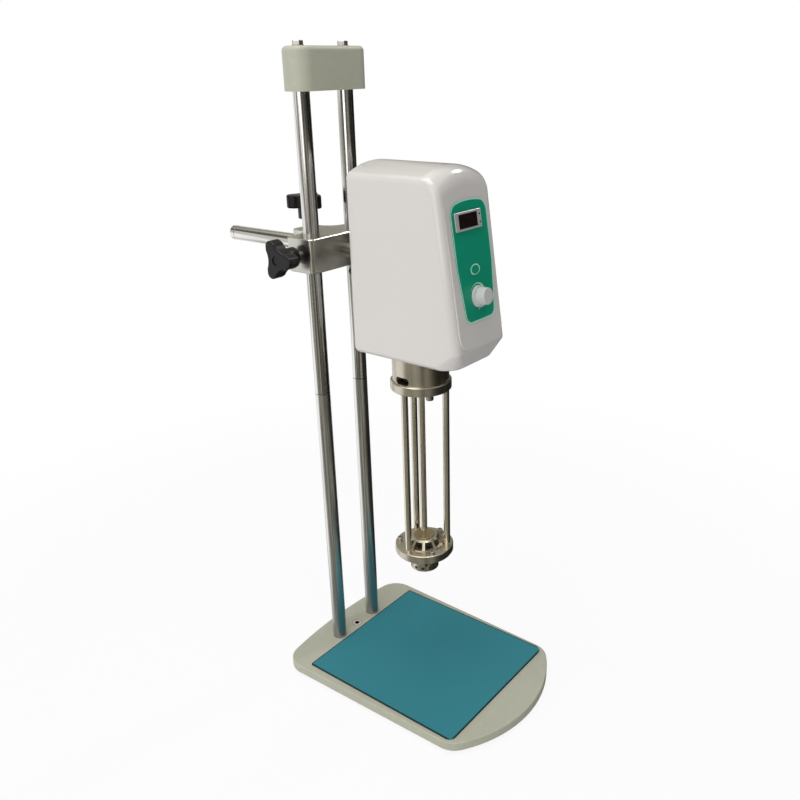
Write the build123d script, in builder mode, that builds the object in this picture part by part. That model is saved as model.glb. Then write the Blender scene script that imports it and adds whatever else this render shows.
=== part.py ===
"""Rotor stator homogenizer on a twin column bench stand.

The frame's origin lies on the bench under the middle of the machine, +Z is up, +X is to the
user's right and the control face looks towards -Y.  All lengths are in millimetres.
"""
import os
from math import cos, radians, sin, tan

from build123d import *

os.makedirs("parts", exist_ok=True)

# ------------------------------------------------------------------ driving dimensions
# Fits
running_fit = 0.05          # radial clearance of a rod, shaft or screw in its hole
rub_gap = 0.3               # gap between a moving piece and one it must not touch
cut_margin = 1.0            # how far a cutting shape reaches past the surface it cuts
parallel = 0.01             # sine of the angle below which two directions count as parallel

# Base plate, feet and mat; reaches are measured from the plane of the two columns
plate_thickness = 11.0
plate_back_width = 227.0
plate_front_width = 215.0
plate_back_reach = 34.0
plate_front_reach = 282.0
plate_back_bow = 11.0
plate_front_bow = 41.0
plate_corner_radius = 28.0
plate_edge_round = 1.5
foot_height = 5.0
foot_radius = 12.0
foot_taper = 1.5
foot_side_inset = 24.0
foot_end_inset = 48.0
foot_screw_radius = 2.0
foot_screw_head_radius = 3.8
foot_screw_head_height = 2.5
foot_screw_length = 9.0
foot_screw_depth = 7.0
mat_width = 205.0
mat_back_reach = 13.2
mat_front_reach = 239.7
mat_thickness = 1.8
mat_front_radius = 9.0
mat_back_radius = 1.5
centre_screw_offset = 1.2
centre_screw_radius = 3.6
centre_screw_head_radius = 6.7

# Columns and the cap that ties them together
column_radius = 9.0
column_spacing = 67.0
column_seat_depth = 3.0
column_end_chamfer = 1.0
column_screw_radius = 4.0
column_screw_head_radius = 7.8
column_screw_length = 26.0
cap_underside = 695.0
cap_length = 105.0
cap_depth = 36.0
cap_forward = 4.0           # cap's middle in front of the columns
cap_height = 43.0
cap_corner_radius = 16.0
cap_top_round = 5.0
cap_roof = 9.0
cap_bolt_radius = 3.0
cap_bolt_flats = 10.2
cap_bolt_head_height = 4.2
cap_bolt_length = 26.0
cap_washer_radius = 6.3
cap_washer_thickness = 1.0

# Cross clamp that slides on the columns and holds the support bar
bar_height = 527.0          # bar axis above the plate
bar_radius = 9.0
bar_rear_reach = 172.0
bar_end_chamfer = 1.5
bar_groove_depth = 0.4
bar_groove_width = 0.8
bar_groove_setback = 8.0
clamp_length = 112.0
clamp_height = 38.0
clamp_front_reach = 21.5
clamp_rear_reach = 17.5
clamp_stem_width = 36.0
clamp_stem_reach = 48.0
clamp_stem_fillet = 20.0
clamp_corner_round = 5.0
clamp_edge_chamfer = 0.8

# Three-lobed clamp knobs
lobe_offset = 16.5
lobe_radius = 6.5
flank_radius = 20.0         # hollow flank between two lobes
flank_hollow = 2.5
grip_thickness = 15.0
grip_edge_round = 2.0
knob_hub_radius = 10.8
knob_hub_length = 12.0
knob_dish_radius = 5.0
knob_dish_depth = 1.0
stud_radius = 4.0
stud_seat = 20.0            # how far the stud is moulded into the knob
side_knob_gap = 7.0
side_knob_turn = 180.0
bar_knob_gap = 11.0
bar_knob_reach = 38.0
bar_knob_turn = 24.0

# Head: a moulded housing round a cast motor frame
head_width = 90.0
head_back_reach = 64.5
head_height = 202.5
bar_over_floor = 102.0      # bar axis above the underside of the head
head_wall = 3.0
head_camber = 10.6
head_top_round = 22.0
head_rim_round = 8.0
head_chin_round = 6.0
head_back_round = 7.0
chin_corner_radius = 26.0   # plan rounding of the chin's corners at the underside
chin_lip_radius = 7.0       # and under the lip of the control face
face_lean = 8.8             # degrees that the control face leans back
face_middle = 105.0         # height of the panel's middle above the underside
face_reach = 71.9           # spindle axis to the control face at that height
face_bed_proud = 1.5        # at its lower end; it fades out at its upper end
face_bed_width = 76.0
face_bed_low = 83.5
face_bed_high = 74.0
face_bed_corner = 16.0
face_bed_top_corner = 22.0
chin_rise = 21.0
chin_setback = 9.0
spindle_setback = 60.5      # head back to the spindle axis

# Back cover
cover_thickness = 2.5
cover_clearance = 0.2
cover_inset = 9.0           # outline of the head to the edge of the cover's opening
cover_sill = 11.0
cover_lug = 9.0
cover_lug_width = 16.0
cover_lug_depth = 10.0
cover_screw_inset = 4.5     # edge of the cover to its screws
cover_corner = 4.0
cover_lug_low = 22.0
cover_lug_high = 160.0
cover_screw_radius = 1.5
cover_screw_head_radius = 2.8
cover_screw_head_height = 1.8
cover_screw_length = 9.0
vent_length = 46.0
vent_width = 3.0
vent_pitch = 8.0
vent_count = 5
vent_height = 146.0
gland_x = -29.5
gland_drop = 15.0
gland_radius = 6.0
gland_length = 11.0
gland_thread_radius = 4.6
gland_bore_radius = 2.8
gland_nut_radius = 6.0
gland_nut_thickness = 3.0

# Motor frame, the casting inside the head
frame_foot_width = 70.0
frame_foot_front = 34.5     # spindle axis to the front edge of the foot
frame_foot_thickness = 10.0
frame_post_width = 36.0
frame_post_thickness = 10.0
frame_post_rise = 18.5
frame_boss_radius = 16.0
frame_boss_proud = 10.0
frame_bore_radius = 12.0
frame_gusset_thickness = 5.0
frame_gusset_depth = 12.0
frame_gusset_height = 42.0
set_screw_radius = 3.0

# Motor
can_radius = 31.0
can_wall = 2.5
can_height = 110.0
bell_thickness = 10.0
bell_hole_radius = 7.0
can_edge = 1.0
shaft_radius = 4.0
bearing_radius = 11.0
bearing_width = 7.0
bearing_groove = 0.8
field_bore_radius = 18.0
field_height = 45.0
field_start = 27.0
air_gap = 0.8
commutator_radius = 11.0
commutator_height = 12.0
commutator_gap = 6.0        # below the upper bell
brush_size = 6.0
motor_screw_pitch = 18.0
motor_screw_radius = 2.0
motor_screw_head_radius = 3.5
motor_screw_head_height = 4.0
motor_screw_length = 17.0
fan_radius = 26.0
fan_height = 8.0
fan_rise = 2.0              # gap between the motor can and the fan
fan_disc = 1.5
fan_blade_thickness = 1.6
fan_blade_count = 9

# Control panel; heights are measured along the face from the panel's middle
overlay_width = 62.5
overlay_foot_width = 50.0
overlay_shift = 1.6
overlay_shoulder = 0.0
overlay_low = 56.5
overlay_high = 66.0
overlay_arch = 4.0
overlay_thickness = 0.5
overlay_corner = 9.0
overlay_top_corner = 13.0
bezel_width = 45.0
bezel_height = 18.7
bezel_thickness = 1.6
bezel_up = 45.5
bezel_shift = -2.0
bezel_corner = 1.2
module_width = 39.0
module_height = 15.0
window_width = 32.5
window_height = 14.3
window_shift = -0.6         # from the bezel's middle
window_recess = 0.5
window_thickness = 2.0
led_shift = 19.4            # from the bezel's middle
led_pitch = 8.0
led_radius = 1.0
led_length = 1.5
button_width = 17.0
button_height = 11.6
button_up = -3.6
button_proud = 0.9
button_travel = 0.6
button_clearance = 0.15
dial_up = -31.5
dial_skirt_radius = 11.3
dial_skirt_height = 3.5
dial_body_radius = 9.3
dial_top_radius = 8.6
dial_height = 14.0
dial_shaft_radius = 3.0
dial_bush_radius = 3.6
dial_shaft_reach = 9.0
dial_shaft_depth = 8.0      # shaft inside the potentiometer
dial_top_round = 1.0
board_setback = 10.0        # inner face of the housing to the circuit board
board_width = 62.0
board_height = 116.0
board_thickness = 1.6
board_pin_inset = 4.0       # pins to the sides of the board
board_pin_end_inset = 6.0   # pins to its ends
board_post_radius = 3.2
board_pin_radius = 1.4
potentiometer_radius = 8.2
switch_size = 12.0
switch_height = 5.0
button_collar = 1.2
button_stem_radius = 2.5

# Neck and the cage that carries the work head
neck_radius = 32.3
neck_wall = 6.0
neck_drop = 32.0            # visible length of the neck below the head
slot_length = 19.0
slot_height = 8.6
slot_rise = 0.7             # lower edge of the access slot above the ring
cage_turn = -3.0            # degrees, first post from -X
cage_count = 3
ring_radius = 35.0
ring_thickness = 10.6
ring_bore_radius = 20.0
ring_chamfer = 0.8
ring_screw_radius = 2.5
ring_screw_head_radius = 4.4
ring_screw_head_height = 5.6
ring_screw_length = 20.0
neck_screw_radius = 2.0
neck_screw_head_radius = 3.8
neck_screw_length = 20.0
post_radius = 4.0
post_pitch = 28.5
post_span = 205.0
post_seat = 6.0
flange_radius = 35.8
flange_thickness = 9.3
flange_bore_radius = 22.0
post_screw_radius = 1.5
post_screw_head_radius = 3.0
post_screw_length = 12.0
flange_screw_radius = 2.0
flange_screw_pitch = 30.2
flange_screw_head_radius = 3.4
flange_screw_head_height = 4.0
flange_screw_length = 12.0

# Bearing hub above the flange: a top disc carried by slim radial ribs
hub_top_radius = 16.0
hub_foot_radius = 24.2
hub_rise = 10.8
hub_wall = 2.2
hub_rim = 1.2
hub_boss_radius = 10.0
hub_boss_drop = 6.0
hub_spigot_depth = 4.0
hub_rib_count = 10
hub_rib_width = 3.2
bush_radius = 7.0
bush_lip_radius = 12.8
bush_lip = 1.2

# Stator and rotor
stator_radius = 17.3
stator_bore_radius = 15.0
stator_depth = 23.7
dish_radius = 34.0
dish_rim = 2.0
dish_neck_radius = 19.5
dish_depth = 9.0
stator_hole_radius = 2.0
stator_hole_count = 12
stator_row_rise = 4.2
stator_row_pitch = 5.2
stator_floor = 1.5
stator_inlet_radius = 9.0
rotor_tip_gap = 0.5
rotor_hub_radius = 6.5
rotor_blade_count = 4
rotor_blade_thickness = 3.0
rotor_blade_sweep = 4.0
rotor_height = 13.5
rotor_bore_radius = 3.0
rotor_nut_flats = 10.0
rotor_nut_height = 3.2
rotor_floor_gap = 0.6

# Coupling between the motor shaft and the drive shaft
coupling_radius = 10.0
coupling_length = 32.0
coupling_dip = 2.0          # how far the coupling reaches down into the ring
coupling_screw_radius = 2.0
coupling_screw_inset = 6.5
coupling_screw_sink = 0.5

# ------------------------------------------------------------------ places
deck = foot_height + plate_thickness
column_y = (plate_front_reach - bar_rear_reach) / 2
column_spots = [(-column_spacing / 2, column_y), (column_spacing / 2, column_y)]
bar_z = deck + bar_height
head_floor = bar_z - bar_over_floor
head_crown = head_floor + head_height
head_back = column_y - head_back_reach
spindle_y = head_back - spindle_setback
spindle = (0, spindle_y)
face_z = head_floor + face_middle
face_y = spindle_y - face_reach
lean = radians(face_lean)
frame_floor = head_floor + head_wall
motor_floor = frame_floor + frame_foot_thickness
ring_top = head_floor - neck_drop
ring_floor = ring_top - ring_thickness
flange_top = ring_floor - post_span
flange_floor = flange_top - flange_thickness
stator_base = flange_floor - stator_depth
cover_face = head_back - cover_thickness
bed_top_z = face_z + face_bed_high * cos(lean)
board_pin_x = board_width / 2 - board_pin_inset
board_pin_up = board_height / 2 - board_pin_end_inset
inner_front = -face_bed_proud - head_wall           # the next three are measured along the
board_front = inner_front - board_setback           # control face's own outward normal
panel_front = overlay_thickness
neck_mid = neck_radius - neck_wall / 2
spindle_axis = Axis((0, spindle_y, 0), (0, 0, 1))
spindle_section = Plane(origin=(0, spindle_y, 0), x_dir=(1, 0, 0), z_dir=(0, -1, 0))

RISING = (Align.CENTER, Align.CENTER, Align.MIN)
HANGING = (Align.CENTER, Align.CENTER, Align.MAX)


def face_plane(proud=0.0):
    """Plane on the control face, or parallel to it and standing proud of it."""
    outward = Vector(0, -cos(lean), sin(lean))
    origin = Vector(0, face_y, face_z) + outward * proud
    return Plane(origin=origin, x_dir=(1, 0, 0), z_dir=outward)


def cage_spots(radius, first_turn):
    """Places spaced round the spindle; a first turn of zero starts at the -X side."""
    turns = [radians(180 + cage_turn + first_turn + 360 * n / cage_count) for n in range(cage_count)]
    return [(radius * cos(turn), spindle_y + radius * sin(turn)) for turn in turns]


def radial_planes(radius, z, turns):
    """Planes round the spindle at one height that face outwards at the given turns in degrees."""
    aims = [Vector(cos(radians(turn)), sin(radians(turn)), 0) for turn in turns]
    return [Plane(origin=Vector(0, spindle_y, z) + aim * radius, z_dir=aim) for aim in aims]


def at_height(spots, z):
    """The same plan places as points at one height."""
    return [(x, y, z) for x, y in spots]


def upside_down(spots, z):
    """Locations at one height that point downwards."""
    return [Location((x, y, z), (180, 0, 0)) for x, y in spots]


def cap_screw(radius, head_radius, head_height, length):
    """Socket head cap screw, the seat of its head at the origin and its shank below."""
    with BuildPart() as screw:
        Cylinder(head_radius, head_height, align=RISING)
        chamfer(screw.edges().group_by(Axis.Z)[-1], head_height / 10)
        with BuildSketch(Plane.XY.offset(head_height)):
            RegularPolygon(radius, 6)
        extrude(amount=-head_height / 2, mode=Mode.SUBTRACT)
        Cylinder(radius, length, align=HANGING)
        chamfer(screw.edges().group_by(Axis.Z)[0], radius / 5)
    return screw.part


def flat_screw(radius, head_radius, length):
    """Countersunk socket screw, the top of its head at the origin and its shank below."""
    with BuildPart() as screw:
        with Locations((0, 0, radius - head_radius)):
            Cone(radius, head_radius, head_radius - radius, align=RISING)
        Cylinder(radius, length, align=HANGING)
        chamfer(screw.edges().group_by(Axis.Z)[0], radius / 5)
        with BuildSketch(Plane.XY):
            RegularPolygon(radius, 6)
        extrude(amount=-radius * 0.7, mode=Mode.SUBTRACT)
    return screw.part


# ------------------------------------------------------------------ base plate
# Thick painted steel plate with bowed ends, drilled for the columns, the feet and one screw.
foot_spots = [
    (side * (plate_front_width / 2 - foot_side_inset), end)
    for side in (-1, 1)
    for end in (column_y + plate_back_reach - foot_end_inset, column_y - plate_front_reach + foot_end_inset)
]
centre_spot = (0, column_y - centre_screw_offset)
back_corner_y = column_y + plate_back_reach - plate_back_bow
front_corner_y = column_y - plate_front_reach + plate_front_bow
with BuildPart() as base_plate:
    with BuildSketch(Plane.XY.offset(foot_height)):
        with BuildLine():
            back_edge = ThreePointArc(
                (-plate_back_width / 2, back_corner_y),
                (0, column_y + plate_back_reach),
                (plate_back_width / 2, back_corner_y),
            )
            front_edge = ThreePointArc(
                (plate_front_width / 2, front_corner_y),
                (0, column_y - plate_front_reach),
                (-plate_front_width / 2, front_corner_y),
            )
            Line(back_edge @ 1, front_edge @ 0)
            Line(front_edge @ 1, back_edge @ 0)
        plate_outline = make_face()
        fillet(plate_outline.vertices(), plate_corner_radius)
    extrude(amount=plate_thickness)
    fillet(base_plate.edges().group_by(Axis.Z)[-1], plate_edge_round)
    with Locations(*at_height(column_spots, deck)):
        Hole(column_radius + running_fit, column_seat_depth)
    with Locations(*upside_down(column_spots, foot_height)):
        CounterSinkHole(
            column_screw_radius + running_fit,
            column_screw_head_radius + running_fit,
            plate_thickness,
            counter_sink_angle=90,
        )
    with Locations((*centre_spot, deck)):
        CounterSinkHole(
            centre_screw_radius + running_fit,
            centre_screw_head_radius + running_fit,
            plate_thickness,
            counter_sink_angle=90,
        )
    with Locations(*upside_down(foot_spots, foot_height)):
        Hole(foot_screw_radius + running_fit, foot_screw_depth)
base_plate.part.label = "base_plate"
export_step(base_plate.part, "parts/base_plate.step")

# Soft teal work mat bonded to the plate in front of the columns.
mat_length = mat_front_reach - mat_back_reach
with BuildPart() as work_mat:
    with BuildSketch(Plane.XY.offset(deck)):
        with Locations((0, column_y - (mat_front_reach + mat_back_reach) / 2)):
            Rectangle(mat_width, mat_length)
    extrude(amount=mat_thickness)
    fillet(work_mat.edges().filter_by(Axis.Z).group_by(Axis.Y)[0], mat_front_radius)
    fillet(work_mat.edges().filter_by(Axis.Z).group_by(Axis.Y)[-1], mat_back_radius)
work_mat.part.label = "work_mat"
export_step(work_mat.part, "parts/work_mat.step")

# Four rubber feet, each held by a pan head screw sunk into it.
foot_pocket = foot_screw_head_height + rub_gap
foot_screw = cap_screw(foot_screw_radius, foot_screw_head_radius, foot_screw_head_height, foot_screw_length)
with BuildPart() as rubber_feet:
    with Locations(*at_height(foot_spots, 0)):
        Cone(foot_radius - foot_taper, foot_radius, foot_height, align=RISING)
    with Locations(*upside_down(foot_spots, 0)):
        CounterBoreHole(
            foot_screw_radius + running_fit, foot_screw_head_radius + rub_gap, foot_pocket, foot_height
        )
rubber_feet.part.label = "rubber_feet"
export_step(rubber_feet.part, "parts/rubber_feet.step")

with BuildPart() as foot_screws:
    with Locations(*upside_down(foot_spots, foot_pocket)):
        add(foot_screw)
foot_screws.part.label = "foot_screws"
export_step(foot_screws.part, "parts/foot_screws.step")

# ------------------------------------------------------------------ columns and cap
# Two ground and chromed rods, tapped at both ends.
column_floor = deck - column_seat_depth
column_top = deck + cap_underside + cap_height - cap_roof
column_tap = column_screw_length - plate_thickness + column_seat_depth + cap_washer_thickness


def column_rod(spot):
    """One column: a rod with chamfered ends and a tapped hole in each."""
    with BuildPart() as rod:
        with Locations((*spot, column_floor)):
            Cylinder(column_radius, column_top - column_floor, align=RISING)
        chamfer(rod.edges().filter_by(GeomType.CIRCLE), column_end_chamfer)
        with Locations((*spot, column_top)):
            Hole(cap_bolt_radius + running_fit, cap_bolt_length)
        with Locations(*upside_down([spot], column_floor)):
            Hole(column_screw_radius + running_fit, column_tap)
    return rod


column_left = column_rod(column_spots[0])
column_left.part.label = "column_left"
export_step(column_left.part, "parts/column_left.step")

column_right = column_rod(column_spots[1])
column_right.part.label = "column_right"
export_step(column_right.part, "parts/column_right.step")

# Countersunk screws that pull the columns down into the plate.
column_screw = flat_screw(column_screw_radius, column_screw_head_radius, column_screw_length)
with BuildPart() as column_screws:
    with Locations(*upside_down(column_spots, foot_height)):
        add(column_screw)
column_screws.part.label = "column_screws"
export_step(column_screws.part, "parts/column_screws.step")

# Countersunk screw that closes the tapped hole between the columns.
centre_flat_screw = flat_screw(centre_screw_radius, centre_screw_head_radius, plate_thickness)
with BuildPart() as centre_screw:
    with Locations((*centre_spot, deck)):
        add(centre_flat_screw)
centre_screw.part.label = "centre_screw"
export_step(centre_screw.part, "parts/centre_screw.step")

# Painted cap casting that ties the column tops together.
with BuildPart() as top_cap:
    with BuildSketch(Plane.XY.offset(deck + cap_underside)):
        with Locations((0, column_y - cap_forward)):
            RectangleRounded(cap_length, cap_depth, cap_corner_radius)
    extrude(amount=cap_height)
    fillet(top_cap.edges().group_by(Axis.Z)[-1], cap_top_round)
    with Locations(*upside_down(column_spots, deck + cap_underside)):
        CounterBoreHole(
            cap_bolt_radius + running_fit,
            column_radius + running_fit,
            cap_height - cap_roof,
            cap_height,
        )
top_cap.part.label = "top_cap"
export_step(top_cap.part, "parts/top_cap.step")

# Plain washers and dished hexagon bolts on the cap.
cap_top = deck + cap_underside + cap_height
with BuildPart() as cap_washers:
    with Locations(*at_height(column_spots, cap_top)):
        Cylinder(cap_washer_radius, cap_washer_thickness, align=RISING)
    with Locations(*at_height(column_spots, cap_top + cap_washer_thickness)):
        Hole(cap_bolt_radius + running_fit, cap_washer_thickness)
cap_washers.part.label = "cap_washers"
export_step(cap_washers.part, "parts/cap_washers.step")

with BuildPart() as cap_bolts:
    with BuildSketch(Plane.XY.offset(cap_top + cap_washer_thickness)):
        with Locations(*column_spots):
            RegularPolygon(cap_bolt_flats / 2, 6, major_radius=False)
    extrude(amount=cap_bolt_head_height)
    chamfer(cap_bolts.edges().group_by(Axis.Z)[-1], cap_bolt_head_height / 8)
    with BuildSketch(Plane.XY.offset(cap_top + cap_washer_thickness + cap_bolt_head_height)):
        with Locations(*column_spots):
            Circle(cap_bolt_radius)
    extrude(amount=-cap_bolt_head_height / 4, mode=Mode.SUBTRACT)
    with Locations(*at_height(column_spots, cap_top + cap_washer_thickness)):
        Cylinder(cap_bolt_radius, cap_bolt_length, align=HANGING)
cap_bolts.part.label = "cap_bolts"
export_step(cap_bolts.part, "parts/cap_bolts.step")

# ------------------------------------------------------------------ cross clamp
# T-shaped block: its wide arm rides on both columns and its stem grips the support bar.
clamp_floor = bar_z - clamp_height / 2
bar_knob_spot = (0, column_y + bar_knob_reach)
with BuildPart() as clamp_block:
    with BuildSketch(Plane.XY.offset(clamp_floor)):
        with Locations((0, column_y - clamp_front_reach)):
            Rectangle(clamp_length, clamp_front_reach + clamp_rear_reach, align=(Align.CENTER, Align.MIN))
            Rectangle(clamp_stem_width, clamp_front_reach + clamp_stem_reach, align=(Align.CENTER, Align.MIN))
    extrude(amount=clamp_height)
    uprights = clamp_block.edges().filter_by(Axis.Z)
    fillet(uprights.group_by(Axis.Y)[1].sort_by(Axis.X)[1:3], clamp_stem_fillet)
    corners = clamp_block.edges().filter_by(Axis.Z)
    fillet(
        corners.group_by(Axis.X)[0] + corners.group_by(Axis.X)[-1] + corners.group_by(Axis.Y)[-1],
        clamp_corner_round,
    )
    chamfer(
        clamp_block.edges().group_by(Axis.Z)[0] + clamp_block.edges().group_by(Axis.Z)[-1], clamp_edge_chamfer
    )
    with Locations(*at_height(column_spots, clamp_floor + clamp_height)):
        Hole(column_radius + running_fit)
    with Locations(Plane(origin=(0, column_y, bar_z), z_dir=(0, 1, 0))):
        Hole(bar_radius + running_fit)
    with Locations((*bar_knob_spot, clamp_floor + clamp_height)):
        Hole(stud_radius + running_fit, clamp_height / 2)
    with Locations(Plane(origin=(-clamp_length / 2, column_y, bar_z), z_dir=(-1, 0, 0))):
        Hole(stud_radius + running_fit, clamp_length / 2 - column_spacing / 2)
clamp_block.part.label = "clamp_block"
export_step(clamp_block.part, "parts/clamp_block.step")


flank_offset = lobe_offset / 2 + lobe_radius + flank_radius - flank_hollow


def lobed_grip(plane):
    """Moulded three-lobed knob whose hub starts on the plane and points along its normal."""
    with BuildPart() as grip:
        with BuildSketch(plane.offset(knob_hub_length)):
            with PolarLocations(lobe_offset, 3):
                Circle(lobe_radius)
            make_hull()
            with PolarLocations(flank_offset, 3, start_angle=60):
                Circle(flank_radius, mode=Mode.SUBTRACT)
        extrude(amount=grip_thickness)
        rims = grip.edges().filter_by(lambda edge: abs(edge.tangent_at(0).dot(plane.z_dir)) < parallel)
        fillet(rims, grip_edge_round)
        with BuildSketch(plane):
            Circle(knob_hub_radius)
        extrude(amount=knob_hub_length)
        with Locations(plane):
            Cylinder(stud_radius + running_fit, stud_seat, align=RISING, mode=Mode.SUBTRACT)
        with BuildSketch(plane.offset(knob_hub_length + grip_thickness)):
            Circle(knob_dish_radius)
        extrude(amount=-knob_dish_depth, mode=Mode.SUBTRACT)
    return grip


def knob_stud(plane, tip):
    """Steel stud moulded into a knob, reaching back past the plane as far as its tip."""
    with BuildPart() as stud:
        with Locations(plane.offset(stud_seat)):
            Cylinder(stud_radius, stud_seat + tip, align=HANGING)
        chamfer(stud.edges().filter_by(GeomType.CIRCLE), stud_radius / 5)
    return stud


side_knob_x = -clamp_length / 2 - side_knob_gap
side_knob_plane = Plane(
    origin=(side_knob_x, column_y, bar_z),
    x_dir=(0, cos(radians(side_knob_turn)), sin(radians(side_knob_turn))),
    z_dir=(-1, 0, 0),
)
side_stud_tip = -side_knob_x - column_spacing / 2 - column_radius - rub_gap
side_knob_grip = lobed_grip(side_knob_plane)
side_knob_grip.part.label = "side_knob_grip"
export_step(side_knob_grip.part, "parts/side_knob_grip.step")

side_knob_stud = knob_stud(side_knob_plane, side_stud_tip)
side_knob_stud.part.label = "side_knob_stud"
export_step(side_knob_stud.part, "parts/side_knob_stud.step")

bar_knob_z = clamp_floor + clamp_height + bar_knob_gap
bar_knob_plane = Plane(
    origin=(*bar_knob_spot, bar_knob_z),
    x_dir=(cos(radians(bar_knob_turn)), sin(radians(bar_knob_turn)), 0),
    z_dir=(0, 0, 1),
)
bar_stud_tip = bar_knob_z - bar_z - bar_radius - rub_gap
bar_knob_grip = lobed_grip(bar_knob_plane)
bar_knob_grip.part.label = "bar_knob_grip"
export_step(bar_knob_grip.part, "parts/bar_knob_grip.step")

bar_knob_stud = knob_stud(bar_knob_plane, bar_stud_tip)
bar_knob_stud.part.label = "bar_knob_stud"
export_step(bar_knob_stud.part, "parts/bar_knob_stud.step")

# Support bar: a ground rod with a marking groove near its free end.
bar_front = head_back - head_wall - frame_post_thickness
bar_length = column_y + bar_rear_reach - bar_front
bar_plane = Plane(origin=(0, bar_front, bar_z), z_dir=(0, 1, 0))
with BuildPart() as support_bar:
    with Locations(bar_plane):
        Cylinder(bar_radius, bar_length, align=RISING)
    chamfer(support_bar.edges().filter_by(GeomType.CIRCLE), bar_end_chamfer)
    with BuildSketch(bar_plane.offset(bar_length - bar_groove_setback)):
        Circle(bar_radius + cut_margin)
        Circle(bar_radius - bar_groove_depth, mode=Mode.SUBTRACT)
    extrude(amount=-bar_groove_width, mode=Mode.SUBTRACT)
support_bar.part.label = "support_bar"
export_step(support_bar.part, "parts/support_bar.step")

# ------------------------------------------------------------------ motor frame
# Casting inside the head: a foot the motor stands on and an upright with a boss for the bar.
post_front = head_back - head_wall - frame_post_thickness
foot_middle = (spindle_y - frame_foot_front + head_back - head_wall) / 2
with BuildPart() as motor_frame:
    with BuildSketch(Plane.XY.offset(frame_floor)):
        with Locations((0, foot_middle)):
            Rectangle(frame_foot_width, head_back - head_wall - spindle_y + frame_foot_front)
    extrude(amount=frame_foot_thickness)
    fillet(motor_frame.edges().filter_by(Axis.Z).group_by(Axis.Y)[0], frame_bore_radius)
    with BuildSketch(Plane(origin=(0, post_front, bar_z), x_dir=(1, 0, 0), z_dir=(0, 1, 0))):
        with Locations((0, (bar_z - frame_floor - frame_post_rise) / 2)):
            Rectangle(frame_post_width, bar_z + frame_post_rise - frame_floor)
    extrude(amount=frame_post_thickness)
    with Locations(Plane(origin=(0, post_front, bar_z), z_dir=(0, 1, 0))):
        Cylinder(frame_boss_radius, head_back + frame_boss_proud - post_front, align=RISING)
    with BuildSketch(Plane.YZ):
        with BuildLine():
            Polyline(
                (post_front, motor_floor),
                (post_front - frame_gusset_depth, motor_floor),
                (post_front, motor_floor + frame_gusset_height),
                close=True,
            )
        make_face()
    extrude(amount=frame_gusset_thickness / 2, both=True)
    with Locations(Plane(origin=(0, head_back + frame_boss_proud, bar_z), z_dir=(0, 1, 0))):
        Hole(bar_radius + running_fit)
    with Locations((0, head_back + frame_boss_proud / 2, bar_z + frame_boss_radius)):
        Hole(set_screw_radius + running_fit, frame_boss_radius)
    with Locations((*spindle, motor_floor)):
        Hole(frame_bore_radius)
    with Locations((*spindle, motor_floor)):
        with PolarLocations(motor_screw_pitch, 4):
            Hole(motor_screw_radius + running_fit)
    with Locations(*at_height(cage_spots(neck_mid, 0), motor_floor)):
        CounterSinkHole(neck_screw_radius + running_fit, neck_screw_head_radius + running_fit)
motor_frame.part.label = "motor_frame"
export_step(motor_frame.part, "parts/motor_frame.step")

# ------------------------------------------------------------------ head housing
def front_at(z, inset):
    """Front of the head at one height: flush with the bed's upper end and behind its lower end."""
    fade = (bed_top_z - z) / (bed_top_z - head_floor - chin_rise)
    return face_y + (z - face_z) * tan(lean) + (inset + face_bed_proud * fade) / cos(lean)


def corner_outline(side, half, front, radius):
    """What a plan rounding takes off one front corner, drawn past the head's own faces."""
    with BuildSketch() as outline:
        with BuildLine():
            rounding = RadiusArc(
                (side * (half - radius), front), (side * half, front + radius), -side * radius
            )
            Polyline(
                rounding @ 1,
                (side * (half + cut_margin), front + radius),
                (side * (half + cut_margin), front - cut_margin),
                (side * (half - radius), front - cut_margin),
                rounding @ 0,
            )
        make_face()
    return outline.sketch


def head_form(inset, back):
    """Rounded head solid, drawn smaller by the inset on every side but the back."""
    half = head_width / 2 - inset
    floor = head_floor + inset
    crown = head_crown - inset
    shoulder = crown - head_camber
    chin_z = head_floor + chin_rise
    chin_y = front_at(chin_z, inset)
    with BuildPart() as form:
        with BuildSketch(Plane.YZ):
            with BuildLine():
                Polyline(
                    (back, floor),
                    (chin_y + chin_setback, floor),
                    (chin_y, chin_z),
                    (front_at(crown, inset), crown),
                    (back, crown),
                    close=True,
                )
            make_face()
        extrude(amount=half, both=True)
        with BuildSketch(Plane.XZ):
            with BuildLine():
                Polyline((-half, shoulder), (-half, floor), (half, floor), (half, shoulder))
                ThreePointArc((half, shoulder), (0, crown), (-half, shoulder))
            make_face()
        extrude(amount=head_height * 2, both=True, mode=Mode.INTERSECT)
        fillet(form.edges().filter_by(GeomType.ELLIPSE), head_top_round - inset)
        inner_edge = half - head_rim_round / 2
        rim = form.edges().filter_by(
            lambda edge: abs(edge.center().X) > inner_edge and floor < edge.center().Z - cut_margin
        )
        fillet(rim.filter_by(lambda edge: edge.center().Y < back - cut_margin), head_rim_round - inset)
        for side in (-1, 1):
            with BuildSketch(Plane.XY.offset(floor)):
                add(corner_outline(side, half, chin_y + chin_setback, chin_corner_radius - inset))
            with BuildSketch(Plane.XY.offset(chin_z)):
                add(corner_outline(side, half, chin_y, chin_lip_radius - inset))
            loft(ruled=True, mode=Mode.SUBTRACT)
        foot_edges = form.faces().sort_by(Axis.Z)[0].edges()
        foot_rim = foot_edges.filter_by(lambda edge: edge.center().Y < back - cut_margin)
        fillet(foot_rim, head_chin_round - inset)
    return form


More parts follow.
